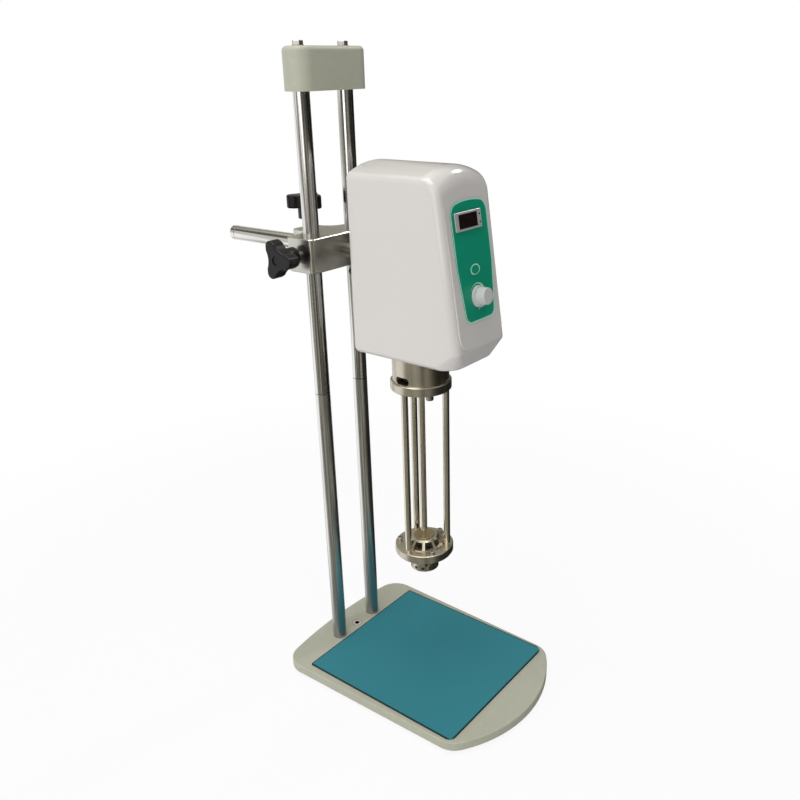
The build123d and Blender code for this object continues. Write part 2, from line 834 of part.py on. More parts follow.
def rear_opening(inset, corner):
    """Outline of the back opening or of its cover, drawn with its local Y upwards."""
    half = head_width / 2 - inset
    top = head_crown - inset
    shoulder = top - head_camber * (2 * half / head_width) ** 2
    sill = head_floor + cover_sill + inset - cover_inset
    with BuildSketch() as outline:
        with BuildLine():
            Polyline((-half, shoulder), (-half, sill), (half, sill), (half, shoulder))
            ThreePointArc((half, shoulder), (0, top), (-half, shoulder))
        make_face()
        fillet(outline.vertices().group_by(Axis.Y)[-1], corner)
    return outline.sketch


rear_section = Plane(origin=(0, cover_face, 0), x_dir=(-1, 0, 0), z_dir=(0, 1, 0))
cover_screw_x = head_width / 2 - cover_inset - cover_screw_inset
lug_x = head_width / 2 - head_wall - cover_lug_width / 2
lug_heights = [head_floor + cover_lug_low, head_floor + cover_lug_high]
lug_spots = [(x, z) for x in (-lug_x, lug_x) for z in lug_heights]
cover_screw_spots = [(x, z) for x in (-cover_screw_x, cover_screw_x) for z in lug_heights]
housing_form = head_form(0, head_back)
with BuildPart() as rounded_form:
    add(housing_form.part)
    fillet(rounded_form.faces().filter_by(Axis.Y).sort_by(Axis.Y)[-1].edges(), head_back_round)
with BuildPart() as cavity:
    add(head_form(head_wall, head_back - head_wall).part)
    with BuildSketch(rear_section.offset(cover_thickness - head_wall - cut_margin)):
        add(rear_opening(cover_inset, cover_corner))
    extrude(amount=head_wall + 2 * cut_margin)

# Moulded housing, open at the back above a sill, with a raised bed for the control panel.
with BuildPart() as head_housing:
    add(rounded_form.part)
    with BuildSketch(face_plane(0)) as bed_outline:
        with Locations((0, (face_bed_high - face_bed_low) / 2)):
            Rectangle(face_bed_width, face_bed_high + face_bed_low)
        fillet(bed_outline.vertices().group_by(Axis.Y)[0], face_bed_corner)
        fillet(bed_outline.vertices().group_by(Axis.Y)[-1], face_bed_top_corner)
    extrude(amount=-face_bed_proud - head_wall / 2)
    add(cavity.part, mode=Mode.SUBTRACT)
    with BuildSketch(face_plane(-head_wall)):
        with GridLocations(2 * board_pin_x, 2 * board_pin_up, 2, 2):
            Circle(board_post_radius)
    extrude(amount=board_front + head_wall)
    with BuildSketch(face_plane(board_front)):
        with GridLocations(2 * board_pin_x, 2 * board_pin_up, 2, 2):
            Circle(board_pin_radius)
    extrude(amount=-board_thickness - rub_gap)
    with BuildSketch(face_plane(0)):
        with Locations((bezel_shift, bezel_up)):
            Rectangle(module_width + 2 * running_fit, module_height + 2 * running_fit)
        with Locations((0, button_up)):
            Ellipse(button_width / 2, button_height / 2)
        with Locations((0, dial_up)):
            Circle(dial_bush_radius + running_fit)
    extrude(amount=inner_front, mode=Mode.SUBTRACT)
    with Locations((*spindle, head_floor + head_wall)):
        Hole(neck_radius + running_fit, head_wall)
    with Locations(*[(x, cover_face - cover_lug_depth / 2, z) for x, z in lug_spots]):
        Box(cover_lug_width, cover_lug_depth, cover_lug)
    with Locations(*[Plane(origin=(x, cover_face, z), z_dir=(0, 1, 0)) for x, z in cover_screw_spots]):
        Hole(cover_screw_radius + running_fit, cover_screw_length)
head_housing.part.label = "head_housing"
export_step(head_housing.part, "parts/head_housing.step")

# Sheet metal back cover, slotted for the fan, with holes for the bar boss and the cable.
gland_z = bar_z - gland_drop
with BuildPart() as back_cover:
    with BuildSketch(rear_section):
        add(rear_opening(cover_inset + cover_clearance, cover_corner))
        with Locations((0, bar_z)):
            Circle(frame_boss_radius + cover_clearance, mode=Mode.SUBTRACT)
        with Locations((-gland_x, gland_z)):
            Circle(gland_thread_radius + running_fit, mode=Mode.SUBTRACT)
        with Locations((0, head_floor + vent_height + vent_pitch * (vent_count - 1) / 2)):
            with GridLocations(vent_length, vent_pitch, 1, vent_count):
                SlotOverall(vent_length, vent_width, mode=Mode.SUBTRACT)
        with Locations(*cover_screw_spots):
            Circle(cover_screw_radius + running_fit, mode=Mode.SUBTRACT)
    extrude(amount=cover_thickness)
back_cover.part.label = "back_cover"
export_step(back_cover.part, "parts/back_cover.step")

cover_screw = cap_screw(
    cover_screw_radius, cover_screw_head_radius, cover_screw_head_height, cover_screw_length
)
with BuildPart() as cover_screws:
    with Locations(*[Plane(origin=(x, head_back, z), z_dir=(0, 1, 0)) for x, z in cover_screw_spots]):
        add(cover_screw)
cover_screws.part.label = "cover_screws"
export_step(cover_screws.part, "parts/cover_screws.step")

# Headless set screw in the boss that locks the head on the bar.
set_screw_top = bar_z + frame_boss_radius - rub_gap * 2
with BuildPart() as bar_set_screw:
    with Locations((0, head_back + frame_boss_proud / 2, set_screw_top)):
        Cylinder(set_screw_radius, set_screw_top - bar_z - bar_radius - rub_gap, align=HANGING)
    with BuildSketch(Plane.XY.offset(set_screw_top)):
        with Locations((0, head_back + frame_boss_proud / 2)):
            RegularPolygon(set_screw_radius / 2, 6)
    extrude(amount=-set_screw_radius, mode=Mode.SUBTRACT)
bar_set_screw.part.label = "bar_set_screw"
export_step(bar_set_screw.part, "parts/bar_set_screw.step")

# Cable gland: hexagon body and domed cap outside the cover, threaded spigot through it.
gland_plane = Plane(origin=(gland_x, head_back, gland_z), x_dir=(1, 0, 0), z_dir=(0, 1, 0))
gland_hex = gland_length / 3
with BuildPart() as cable_gland:
    with BuildSketch(gland_plane):
        RegularPolygon(gland_radius, 6)
    extrude(amount=gland_hex)
    with Locations(gland_plane.offset(gland_hex)):
        Cone(
            gland_thread_radius + gland_bore_radius / 4, gland_thread_radius - gland_bore_radius / 4,
            gland_length - gland_hex, align=RISING,
        )
    fillet(cable_gland.edges().filter_by(GeomType.CIRCLE).sort_by(Axis.Y)[-1], gland_bore_radius / 4)
    with Locations(gland_plane):
        Cylinder(
            gland_thread_radius, cover_thickness + gland_nut_thickness + gland_bore_radius / 2, align=HANGING
        )
    with Locations(gland_plane.offset(gland_length)):
        Hole(gland_bore_radius)
cable_gland.part.label = "cable_gland"
export_step(cable_gland.part, "parts/cable_gland.step")

with BuildPart() as gland_nut:
    with BuildSketch(gland_plane.offset(-cover_thickness)):
        RegularPolygon(gland_nut_radius, 6)
        Circle(gland_thread_radius + running_fit, mode=Mode.SUBTRACT)
    extrude(amount=-gland_nut_thickness)
gland_nut.part.label = "gland_nut"
export_step(gland_nut.part, "parts/gland_nut.step")

# ------------------------------------------------------------------ control panel
# Printed overlay on the raised bed, cut out for the display, the button and the dial bush.
overlay_left = overlay_shift - overlay_width / 2
overlay_right = overlay_shift + overlay_width / 2
overlay_side = overlay_high - overlay_arch
with BuildPart() as panel_overlay:
    with BuildSketch(face_plane(0)) as overlay_outline:
        with BuildLine():
            Polyline(
                (overlay_left, overlay_side),
                (overlay_left, overlay_shoulder),
                (overlay_shift - overlay_foot_width / 2, -overlay_low),
                (overlay_shift + overlay_foot_width / 2, -overlay_low),
                (overlay_right, overlay_shoulder),
                (overlay_right, overlay_side),
            )
            ThreePointArc(
                (overlay_right, overlay_side), (overlay_shift, overlay_high), (overlay_left, overlay_side)
            )
        make_face()
        fillet(overlay_outline.vertices().group_by(Axis.Y)[0], overlay_corner)
        fillet(overlay_outline.vertices().group_by(Axis.Y)[-1], overlay_top_corner)
        with Locations((bezel_shift, bezel_up)):
            Rectangle(
                module_width + 2 * running_fit, module_height + 2 * running_fit, mode=Mode.SUBTRACT
            )
        with Locations((0, button_up)):
            Ellipse(button_width / 2, button_height / 2, mode=Mode.SUBTRACT)
        with Locations((0, dial_up)):
            Circle(dial_bush_radius + running_fit, mode=Mode.SUBTRACT)
    extrude(amount=overlay_thickness)
panel_overlay.part.label = "panel_overlay"
export_step(panel_overlay.part, "parts/panel_overlay.step")

# Display bezel: a framed flange on the overlay whose body reaches back to the circuit board.
led_spots = [(bezel_shift + led_shift, bezel_up + step * led_pitch / 2) for step in (-1, 1)]
bezel_front = panel_front + bezel_thickness
with BuildPart() as display_bezel:
    with BuildSketch(face_plane(panel_front)):
        with Locations((bezel_shift, bezel_up)):
            RectangleRounded(bezel_width, bezel_height, bezel_corner)
    extrude(amount=bezel_thickness)
    chamfer(display_bezel.faces().sort_by(Axis.Y)[0].edges(), window_recess)
    with BuildSketch(face_plane(panel_front)):
        with Locations((bezel_shift, bezel_up)):
            Rectangle(module_width, module_height)
    extrude(amount=board_front - panel_front)
    with BuildSketch(face_plane(bezel_front)):
        with Locations((bezel_shift + window_shift, bezel_up)):
            Rectangle(window_width, window_height)
    extrude(amount=-window_recess - window_thickness, mode=Mode.SUBTRACT)
    with BuildSketch(face_plane(bezel_front)):
        with Locations(*led_spots):
            Circle(led_radius + running_fit)
    extrude(amount=-led_length, mode=Mode.SUBTRACT)
display_bezel.part.label = "display_bezel"
export_step(display_bezel.part, "parts/display_bezel.step")

with BuildPart() as display_window:
    with BuildSketch(face_plane(bezel_front - window_recess)):
        with Locations((bezel_shift + window_shift, bezel_up)):
            Rectangle(window_width - 2 * running_fit, window_height - 2 * running_fit)
    extrude(amount=-window_thickness)
display_window.part.label = "display_window"
export_step(display_window.part, "parts/display_window.step")

with BuildPart() as status_leds:
    with BuildSketch(face_plane(bezel_front)):
        with Locations(*led_spots):
            Circle(led_radius)
    extrude(amount=-led_length)
status_leds.part.label = "status_leds"
export_step(status_leds.part, "parts/status_leds.step")

# Circuit board on four pins behind the panel, with the dial's potentiometer and the switch.
with BuildPart() as control_board:
    with BuildSketch(face_plane(board_front)):
        Rectangle(board_width, board_height)
        with GridLocations(2 * board_pin_x, 2 * board_pin_up, 2, 2):
            Circle(board_pin_radius + running_fit, mode=Mode.SUBTRACT)
    extrude(amount=-board_thickness)
control_board.part.label = "control_board"
export_step(control_board.part, "parts/control_board.step")

with BuildPart() as potentiometer:
    with BuildSketch(face_plane(board_front)):
        with Locations((0, dial_up)):
            Circle(potentiometer_radius)
    extrude(amount=board_setback)
    with BuildSketch(face_plane(inner_front)):
        with Locations((0, dial_up)):
            Circle(dial_bush_radius)
    extrude(amount=panel_front - inner_front)
    with BuildSketch(face_plane(panel_front)):
        with Locations((0, dial_up)):
            Circle(dial_shaft_radius + running_fit)
    extrude(amount=inner_front - panel_front - dial_shaft_depth - rub_gap, mode=Mode.SUBTRACT)
potentiometer.part.label = "potentiometer"
export_step(potentiometer.part, "parts/potentiometer.step")

with BuildPart() as button_switch:
    with BuildSketch(face_plane(board_front)):
        with Locations((0, button_up)):
            Rectangle(switch_size, switch_size)
    extrude(amount=switch_height - button_collar)
    with BuildSketch(face_plane(board_front + switch_height - button_collar)):
        with Locations((0, button_up)):
            Circle(button_stem_radius)
    extrude(amount=button_collar)
button_switch.part.label = "button_switch"
export_step(button_switch.part, "parts/button_switch.step")

# Start button: an oval cap with a retaining collar and a stem behind the wall.
with BuildPart() as start_button:
    with BuildSketch(face_plane(panel_front + button_proud)):
        with Locations((0, button_up)):
            Ellipse(button_width / 2 - button_clearance, button_height / 2 - button_clearance)
    extrude(amount=inner_front - running_fit - panel_front - button_proud)
    fillet(start_button.edges().sort_by(Axis.Y)[0], button_proud / 2)
    with BuildSketch(face_plane(inner_front - running_fit)):
        with Locations((0, button_up)):
            Ellipse(button_width / 2 + button_collar, button_height / 2 + button_collar)
    extrude(amount=-button_collar)
    with BuildSketch(face_plane(inner_front - running_fit - button_collar)):
        with Locations((0, button_up)):
            Circle(button_stem_radius)
    extrude(amount=switch_height + button_travel + 2 * running_fit + button_collar - board_setback)
start_button.part.label = "start_button"
export_step(start_button.part, "parts/start_button.step")

# Speed dial: a tapered knob with a skirt, on the potentiometer's shaft.
dial_base = panel_front + rub_gap
dial_origin = face_plane(0).from_local_coords((0, dial_up, 0))
dial_section = Plane(origin=dial_origin, x_dir=(1, 0, 0), z_dir=(0, -sin(lean), -cos(lean)))
dial_outward = Vector(0, -cos(lean), sin(lean))
with BuildPart() as speed_knob:
    with BuildSketch(dial_section):
        with BuildLine():
            Polyline(
                (0, dial_base),
                (dial_skirt_radius, dial_base),
                (dial_skirt_radius, dial_base + dial_skirt_height),
                (dial_body_radius, dial_base + dial_skirt_height + rub_gap),
                (dial_top_radius, dial_height),
                (0, dial_height),
                close=True,
            )
        make_face()
    revolve(axis=Axis(dial_origin, dial_outward))
    top_edges = speed_knob.edges().filter_by(GeomType.CIRCLE).sort_by(Axis.Y)
    fillet(top_edges[0], dial_top_round)
    with BuildSketch(face_plane(dial_base)):
        with Locations((0, dial_up)):
            Circle(dial_shaft_radius + running_fit)
    extrude(amount=dial_shaft_reach, mode=Mode.SUBTRACT)
speed_knob.part.label = "speed_knob"
export_step(speed_knob.part, "parts/speed_knob.step")

with BuildPart() as dial_shaft:
    with BuildSketch(face_plane(inner_front - dial_shaft_depth)):
        with Locations((0, dial_up)):
            Circle(dial_shaft_radius)
    extrude(amount=dial_shaft_reach + panel_front - inner_front + dial_shaft_depth)
dial_shaft.part.label = "dial_shaft"
export_step(dial_shaft.part, "parts/dial_shaft.step")

# ------------------------------------------------------------------ motor
# Motor can: a drawn shell whose end bells are pocketed for the ball bearings.
can_inner = can_radius - can_wall
can_top = motor_floor + can_height
commutator_floor = can_top - bell_thickness - commutator_gap - commutator_height
with BuildPart() as motor_can:
    with BuildSketch(spindle_section):
        with BuildLine():
            Polyline(
                (bell_hole_radius, motor_floor),
                (can_radius, motor_floor),
                (can_radius, can_top),
                (bell_hole_radius, can_top),
                (bell_hole_radius, can_top - bell_thickness + bearing_width),
                (bearing_radius + running_fit, can_top - bell_thickness + bearing_width),
                (bearing_radius + running_fit, can_top - bell_thickness),
                (can_inner, can_top - bell_thickness),
                (can_inner, motor_floor + bell_thickness),
                (bearing_radius + running_fit, motor_floor + bell_thickness),
                (bearing_radius + running_fit, motor_floor + bell_thickness - bearing_width),
                (bell_hole_radius, motor_floor + bell_thickness - bearing_width),
                close=True,
            )
        make_face()
    revolve(axis=spindle_axis)
    chamfer(motor_can.edges().filter_by(GeomType.CIRCLE).group_by(SortBy.RADIUS)[-1], can_edge)
    with Locations(*upside_down([spindle], motor_floor)):
        with PolarLocations(motor_screw_pitch, 4):
            Hole(motor_screw_radius + running_fit, bell_thickness - can_edge)
motor_can.part.label = "motor_can"
export_step(motor_can.part, "parts/motor_can.step")

motor_screw = cap_screw(
    motor_screw_radius, motor_screw_head_radius, motor_screw_head_height, motor_screw_length
)
with BuildPart() as motor_screws:
    with Locations(*upside_down([spindle], frame_floor)):
        with PolarLocations(motor_screw_pitch, 4):
            add(motor_screw)
motor_screws.part.label = "motor_screws"
export_step(motor_screws.part, "parts/motor_screws.step")

with BuildPart() as motor_field:
    with BuildSketch(Plane.XY.offset(motor_floor + field_start)):
        with Locations(spindle):
            Circle(can_inner - running_fit)
            Circle(field_bore_radius, mode=Mode.SUBTRACT)
    extrude(amount=field_height)
motor_field.part.label = "motor_field"
export_step(motor_field.part, "parts/motor_field.step")

# Two shielded ball bearings, one in each bell.
bearing_floors = [motor_floor + bell_thickness - bearing_width, can_top - bell_thickness]
with BuildPart() as motor_bearings:
    with BuildSketch(*[Plane.XY.offset(z) for z in bearing_floors]):
        with Locations(spindle):
            Circle(bearing_radius)
            Circle(shaft_radius + running_fit, mode=Mode.SUBTRACT)
    extrude(amount=bearing_width)
    with BuildSketch(*[Plane.XY.offset(z) for z in bearing_floors]):
        with Locations(spindle):
            Circle(bearing_radius - 2 * bearing_groove)
            Circle(shaft_radius + 2 * bearing_groove, mode=Mode.SUBTRACT)
    extrude(amount=bearing_groove, mode=Mode.SUBTRACT)
motor_bearings.part.label = "motor_bearings"
export_step(motor_bearings.part, "parts/motor_bearings.step")

brush_inner = commutator_radius + rub_gap
brush_length = can_inner - rub_gap - brush_inner
with BuildPart() as carbon_brushes:
    with BuildSketch(Plane.XY.offset(commutator_floor + (commutator_height - brush_size) / 2)):
        for side in (-1, 1):
            with Locations((side * (brush_inner + brush_length / 2), spindle_y)):
                Rectangle(brush_length, brush_size)
    extrude(amount=brush_size)
carbon_brushes.part.label = "carbon_brushes"
export_step(carbon_brushes.part, "parts/carbon_brushes.step")

# Armature: shaft, laminated stack, winding heads and commutator.
coupling_floor = ring_top - coupling_dip
coupling_middle = coupling_floor + coupling_length / 2
fan_floor = can_top + fan_rise
winding_radius = field_bore_radius - 5 * air_gap
with BuildPart() as armature:
    with Locations((*spindle, coupling_middle + rub_gap)):
        Cylinder(shaft_radius, fan_floor + fan_height + fan_rise - coupling_middle - rub_gap, align=RISING)
    with Locations((*spindle, motor_floor + field_start)):
        Cylinder(field_bore_radius - air_gap, field_height, align=RISING)
    with Locations((*spindle, motor_floor + field_start - bell_thickness)):
        Cylinder(winding_radius, field_height + 3 * bell_thickness / 2, align=RISING)
    with Locations((*spindle, commutator_floor)):
        Cylinder(commutator_radius, commutator_height, align=RISING)
    chamfer(armature.edges().filter_by(GeomType.CIRCLE).sort_by(Axis.Z)[-1], shaft_radius / 8)
armature.part.label = "armature"
export_step(armature.part, "parts/armature.step")

# Moulded radial fan on the upper end of the motor shaft.
with BuildPart() as cooling_fan:
    with Locations((*spindle, fan_floor)):
        Cylinder(fan_radius, fan_disc, align=RISING)
        Cylinder(shaft_radius + fan_rise, fan_height, align=RISING)
    with BuildSketch(Plane.XY.offset(fan_floor)):
        with Locations(spindle):
            with PolarLocations((shaft_radius + fan_radius) / 2, fan_blade_count):
                Rectangle(fan_radius - shaft_radius - fan_rise, fan_blade_thickness)
    extrude(amount=fan_height)
    with Locations((*spindle, fan_floor + fan_height)):
        Hole(shaft_radius + running_fit)
cooling_fan.part.label = "cooling_fan"
export_step(cooling_fan.part, "parts/cooling_fan.step")

# ------------------------------------------------------------------ neck and cage
# Stainless neck under the head, slotted at the side to reach the coupling.
neck_length = frame_floor - ring_top
slot_middle = ring_top + slot_rise + slot_height / 2
post_turns = [180 + cage_turn + 360 * n / cage_count for n in range(cage_count)]
with BuildPart() as neck_sleeve:
    with BuildSketch(Plane.XY.offset(ring_top)):
        with Locations(spindle):
            Circle(neck_radius)
            Circle(neck_radius - neck_wall, mode=Mode.SUBTRACT)
    extrude(amount=neck_length)
    with BuildSketch(*radial_planes(neck_radius + cut_margin, slot_middle, post_turns[:1])):
        SlotOverall(slot_length, slot_height)
    extrude(amount=-2 * neck_wall, mode=Mode.SUBTRACT)
    with Locations(*at_height(cage_spots(neck_mid, 0), frame_floor)):
        Hole(neck_screw_radius + running_fit, neck_screw_length - frame_foot_thickness + rub_gap)
    with Locations(*upside_down(cage_spots(neck_mid, 180 / cage_count), ring_top)):
        Hole(ring_screw_radius + running_fit, ring_screw_length - ring_thickness + rub_gap)
neck_sleeve.part.label = "neck_sleeve"
export_step(neck_sleeve.part, "parts/neck_sleeve.step")

neck_screw = flat_screw(neck_screw_radius, neck_screw_head_radius, neck_screw_length)
with BuildPart() as neck_screws:
    with Locations(*at_height(cage_spots(neck_mid, 0), motor_floor)):
        add(neck_screw)
neck_screws.part.label = "neck_screws"
export_step(neck_screws.part, "parts/neck_screws.step")

# Ring under the neck: the three posts are pressed into it from below.
with BuildPart() as cage_ring:
    with BuildSketch(Plane.XY.offset(ring_floor)):
        with Locations(spindle):
            Circle(ring_radius)
            Circle(ring_bore_radius, mode=Mode.SUBTRACT)
    extrude(amount=ring_thickness)
    chamfer(cage_ring.edges().filter_by(GeomType.CIRCLE).group_by(SortBy.RADIUS)[-1], ring_chamfer)
    with Locations(*upside_down(cage_spots(post_pitch, 0), ring_floor)):
        Hole(post_radius + running_fit, post_seat)
    with Locations(*at_height(cage_spots(neck_mid, 180 / cage_count), ring_top)):
        Hole(ring_screw_radius + running_fit)
cage_ring.part.label = "cage_ring"
export_step(cage_ring.part, "parts/cage_ring.step")

ring_screw = cap_screw(ring_screw_radius, ring_screw_head_radius, ring_screw_head_height, ring_screw_length)
with BuildPart() as ring_screws:
    with Locations(*upside_down(cage_spots(neck_mid, 180 / cage_count), ring_floor)):
        add(ring_screw)
ring_screws.part.label = "ring_screws"
export_step(ring_screws.part, "parts/ring_screws.step")

# Three long polished posts, screwed to the flange from its underside.
post_floor = flange_top - post_seat
with BuildPart() as support_posts:
    with Locations(*at_height(cage_spots(post_pitch, 0), post_floor)):
        Cylinder(post_radius, ring_floor + post_seat - post_floor, align=RISING)
    chamfer(support_posts.edges().filter_by(GeomType.CIRCLE), post_radius / 8)
    with Locations(*upside_down(cage_spots(post_pitch, 0), post_floor)):
        Hole(post_screw_radius + running_fit, post_screw_length)
support_posts.part.label = "support_posts"
export_step(support_posts.part, "parts/support_posts.step")

post_screw = flat_screw(post_screw_radius, post_screw_head_radius, post_screw_length)
with BuildPart() as post_screws:
    with Locations(*upside_down(cage_spots(post_pitch, 0), flange_floor)):
        add(post_screw)
post_screws.part.label = "post_screws"
export_step(post_screws.part, "parts/post_screws.step")

# Lower flange: seats for the posts, a central bore and three screws for the work head.
with BuildPart() as lower_flange:
    with BuildSketch(Plane.XY.offset(flange_floor)):
        with Locations(spindle):
            Circle(flange_radius)
            Circle(flange_bore_radius, mode=Mode.SUBTRACT)
    extrude(amount=flange_thickness)
    chamfer(lower_flange.edges().filter_by(GeomType.CIRCLE).group_by(SortBy.RADIUS)[-1], ring_chamfer)
    with Locations(*at_height(cage_spots(post_pitch, 0), flange_top)):
        Hole(post_radius + running_fit, post_seat)
    with Locations(*upside_down(cage_spots(post_pitch, 0), flange_floor)):
        CounterSinkHole(post_screw_radius + running_fit, post_screw_head_radius + running_fit)
    with Locations(*at_height(cage_spots(flange_screw_pitch, 180 / cage_count), flange_top)):
        Hole(flange_screw_radius + running_fit)
lower_flange.part.label = "lower_flange"
export_step(lower_flange.part, "parts/lower_flange.step")

flange_screw = cap_screw(
    flange_screw_radius, flange_screw_head_radius, flange_screw_head_height, flange_screw_length
)
with BuildPart() as flange_screws:
    with Locations(*at_height(cage_spots(flange_screw_pitch, 180 / cage_count), flange_top)):
        add(flange_screw)
flange_screws.part.label = "flange_screws"
export_step(flange_screws.part, "parts/flange_screws.step")

# ------------------------------------------------------------------ work head
# Bearing hub: a cone milled through from the side so that a disc stands on ten radial ribs.
hub_bore = bush_radius + running_fit
hub_top = flange_top + hub_rise
hub_web = hub_top - hub_wall
hub_inner_foot = flange_bore_radius - hub_wall
with BuildPart() as bearing_hub:
    with BuildSketch(spindle_section):
        with BuildLine():
            Polyline(
                (hub_bore, flange_top - hub_boss_drop),
                (hub_boss_radius, flange_top - hub_boss_drop),
                (hub_boss_radius, flange_top),
                (hub_inner_foot, flange_top),
                (hub_inner_foot, flange_top - hub_spigot_depth),
                (flange_bore_radius - running_fit, flange_top - hub_spigot_depth),
                (flange_bore_radius - running_fit, flange_top),
                (hub_foot_radius, flange_top),
                (hub_foot_radius, flange_top + hub_rim),
                (hub_top_radius, hub_top),
                (hub_bore, hub_top),
                close=True,
            )
        make_face()
    revolve(axis=spindle_axis)
    millings = [(flange_top, hub_inner_foot), (flange_top + hub_rim, hub_foot_radius + cut_margin)]
    for start, reach in millings:
        with BuildSketch(Plane.XY.offset(start)):
            with Locations(spindle):
                Circle(reach)
                Circle(hub_boss_radius, mode=Mode.SUBTRACT)
                with PolarLocations(hub_foot_radius / 2, hub_rib_count):
                    Rectangle(hub_foot_radius + 2 * cut_margin, hub_rib_width, mode=Mode.SUBTRACT)
        extrude(amount=hub_web - start, mode=Mode.SUBTRACT)
bearing_hub.part.label = "bearing_hub"
export_step(bearing_hub.part, "parts/bearing_hub.step")

# Bronze bush with a lip, pressed into the hub; the drive shaft runs in it.
with BuildPart() as shaft_bush:
    with BuildSketch(Plane.XY.offset(flange_top - hub_boss_drop)):
        with Locations(spindle):
            Circle(bush_radius)
    extrude(amount=hub_rise + hub_boss_drop)
    with BuildSketch(Plane.XY.offset(hub_top)):
        with Locations(spindle):
            Circle(bush_lip_radius)
    extrude(amount=bush_lip)
    chamfer(shaft_bush.edges().sort_by(Axis.Z)[-1], bush_lip / 3)
    with Locations((*spindle, hub_top + bush_lip)):
        Hole(shaft_radius + running_fit)
shaft_bush.part.label = "shaft_bush"
export_step(shaft_bush.part, "parts/shaft_bush.step")

# Stator: a dish screwed under the flange and a thin sleeve drilled with two staggered rows.
dish_foot = flange_floor - dish_depth
stator_wall_middle = (stator_radius + stator_bore_radius) / 2
with BuildPart() as stator_head:
    with BuildSketch(spindle_section):
        with BuildLine():
            Polyline(
                (stator_bore_radius, flange_floor),
                (dish_radius, flange_floor),
                (dish_radius, flange_floor - dish_rim),
                (dish_neck_radius, dish_foot),
                (stator_radius, dish_foot),
                (stator_radius, stator_base),
                (stator_inlet_radius, stator_base),
                (stator_inlet_radius, stator_base + stator_floor),
                (stator_bore_radius, stator_base + stator_floor),
                close=True,
            )
        make_face()
    revolve(axis=spindle_axis)
    hole_step = 360 / stator_hole_count
    low_turns = [hole_step * n for n in range(stator_hole_count)]
    high_turns = [hole_step * (n + 1 / 2) for n in range(stator_hole_count)]
    low_row = stator_base + stator_row_rise
    drillings = radial_planes(stator_wall_middle, low_row, low_turns)
    drillings += radial_planes(stator_wall_middle, low_row + stator_row_pitch, high_turns)
    with Locations(*drillings):
        Cylinder(stator_hole_radius, 2 * (stator_radius - stator_bore_radius), mode=Mode.SUBTRACT)
    with Locations(*at_height(cage_spots(flange_screw_pitch, 180 / cage_count), flange_floor)):
        Hole(flange_screw_radius + running_fit, flange_screw_length - flange_thickness + running_fit)
stator_head.part.label = "stator_head"
export_step(stator_head.part, "parts/stator_head.step")

# ------------------------------------------------------------------ turning parts
# Split coupling with a set screw for each shaft.
with BuildPart() as shaft_coupling:
    with Locations((*spindle, coupling_floor)):
        Cylinder(coupling_radius, coupling_length, align=RISING)
    chamfer(shaft_coupling.edges().filter_by(GeomType.CIRCLE), ring_chamfer)
    with Locations((*spindle, coupling_floor + coupling_length)):
        Hole(shaft_radius + running_fit)
    screw_heights = [
        coupling_floor + coupling_screw_inset,
        coupling_floor + coupling_length - coupling_screw_inset,
    ]
    for height in screw_heights:
        with Locations(*radial_planes(coupling_radius, height, post_turns[:1])):
            Hole(coupling_screw_radius + running_fit, coupling_radius - shaft_radius)
shaft_coupling.part.label = "shaft_coupling"
export_step(shaft_coupling.part, "parts/shaft_coupling.step")

with BuildPart() as coupling_screws:
    for height in screw_heights:
        with Locations(*radial_planes(coupling_radius - coupling_screw_sink, height, post_turns[:1])):
            Cylinder(
                coupling_screw_radius,
                coupling_radius - coupling_screw_sink - shaft_radius - 2 * running_fit,
                align=HANGING,
            )
        with BuildSketch(*radial_planes(coupling_radius - coupling_screw_sink, height, post_turns[:1])):
            RegularPolygon(coupling_screw_radius / 2, 6)
        extrude(amount=-coupling_screw_radius, mode=Mode.SUBTRACT)
coupling_screws.part.label = "coupling_screws"
export_step(coupling_screws.part, "parts/coupling_screws.step")

# Drive shaft, stepped down below for the rotor and its nut.
hub_floor = stator_base + stator_floor + rotor_floor_gap + rotor_blade_thickness * 2 / 3
rotor_top = stator_base + stator_floor + rotor_floor_gap + rotor_height
nut_floor = hub_floor - rotor_nut_height
with BuildPart() as drive_shaft:
    with Locations((*spindle, rotor_top)):
        Cylinder(shaft_radius, coupling_middle - rub_gap - rotor_top, align=RISING)
    with Locations((*spindle, rotor_top)):
        Cylinder(rotor_bore_radius, rotor_top - nut_floor, align=HANGING)
    chamfer(drive_shaft.edges().filter_by(GeomType.CIRCLE).group_by(Axis.Z)[0], rotor_bore_radius / 6)
drive_shaft.part.label = "drive_shaft"
export_step(drive_shaft.part, "parts/drive_shaft.step")

# Rotor: four swept blades on a hub, turning close inside the stator sleeve.
tip_radius = stator_bore_radius - rotor_tip_gap
with BuildPart() as cutting_rotor:
    with BuildSketch(Plane.XY.offset(rotor_top - rotor_height)):
        with Locations(spindle):
            with PolarLocations(0, rotor_blade_count):
                with Locations((tip_radius / 2, rotor_blade_sweep)):
                    Rectangle(tip_radius, rotor_blade_thickness)
            Circle(tip_radius, mode=Mode.INTERSECT)
            Circle(rotor_hub_radius, mode=Mode.SUBTRACT)
    extrude(amount=rotor_height)
    with BuildSketch(Plane.XY.offset(hub_floor)):
        with Locations(spindle):
            Circle(rotor_hub_radius)
    extrude(amount=rotor_top - hub_floor)
    with Locations((*spindle, rotor_top)):
        Hole(rotor_bore_radius + running_fit)
cutting_rotor.part.label = "cutting_rotor"
export_step(cutting_rotor.part, "parts/cutting_rotor.step")

with BuildPart() as rotor_nut:
    with BuildSketch(Plane.XY.offset(nut_floor)):
        with Locations(spindle):
            RegularPolygon(rotor_nut_flats / 2, 6, major_radius=False)
            Circle(rotor_bore_radius + running_fit, mode=Mode.SUBTRACT)
    extrude(amount=rotor_nut_height)
rotor_nut.part.label = "rotor_nut"
export_step(rotor_nut.part, "parts/rotor_nut.step")
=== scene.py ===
from math import cos, radians, sin

import bmesh
import bpy
from mathutils import Matrix, Vector


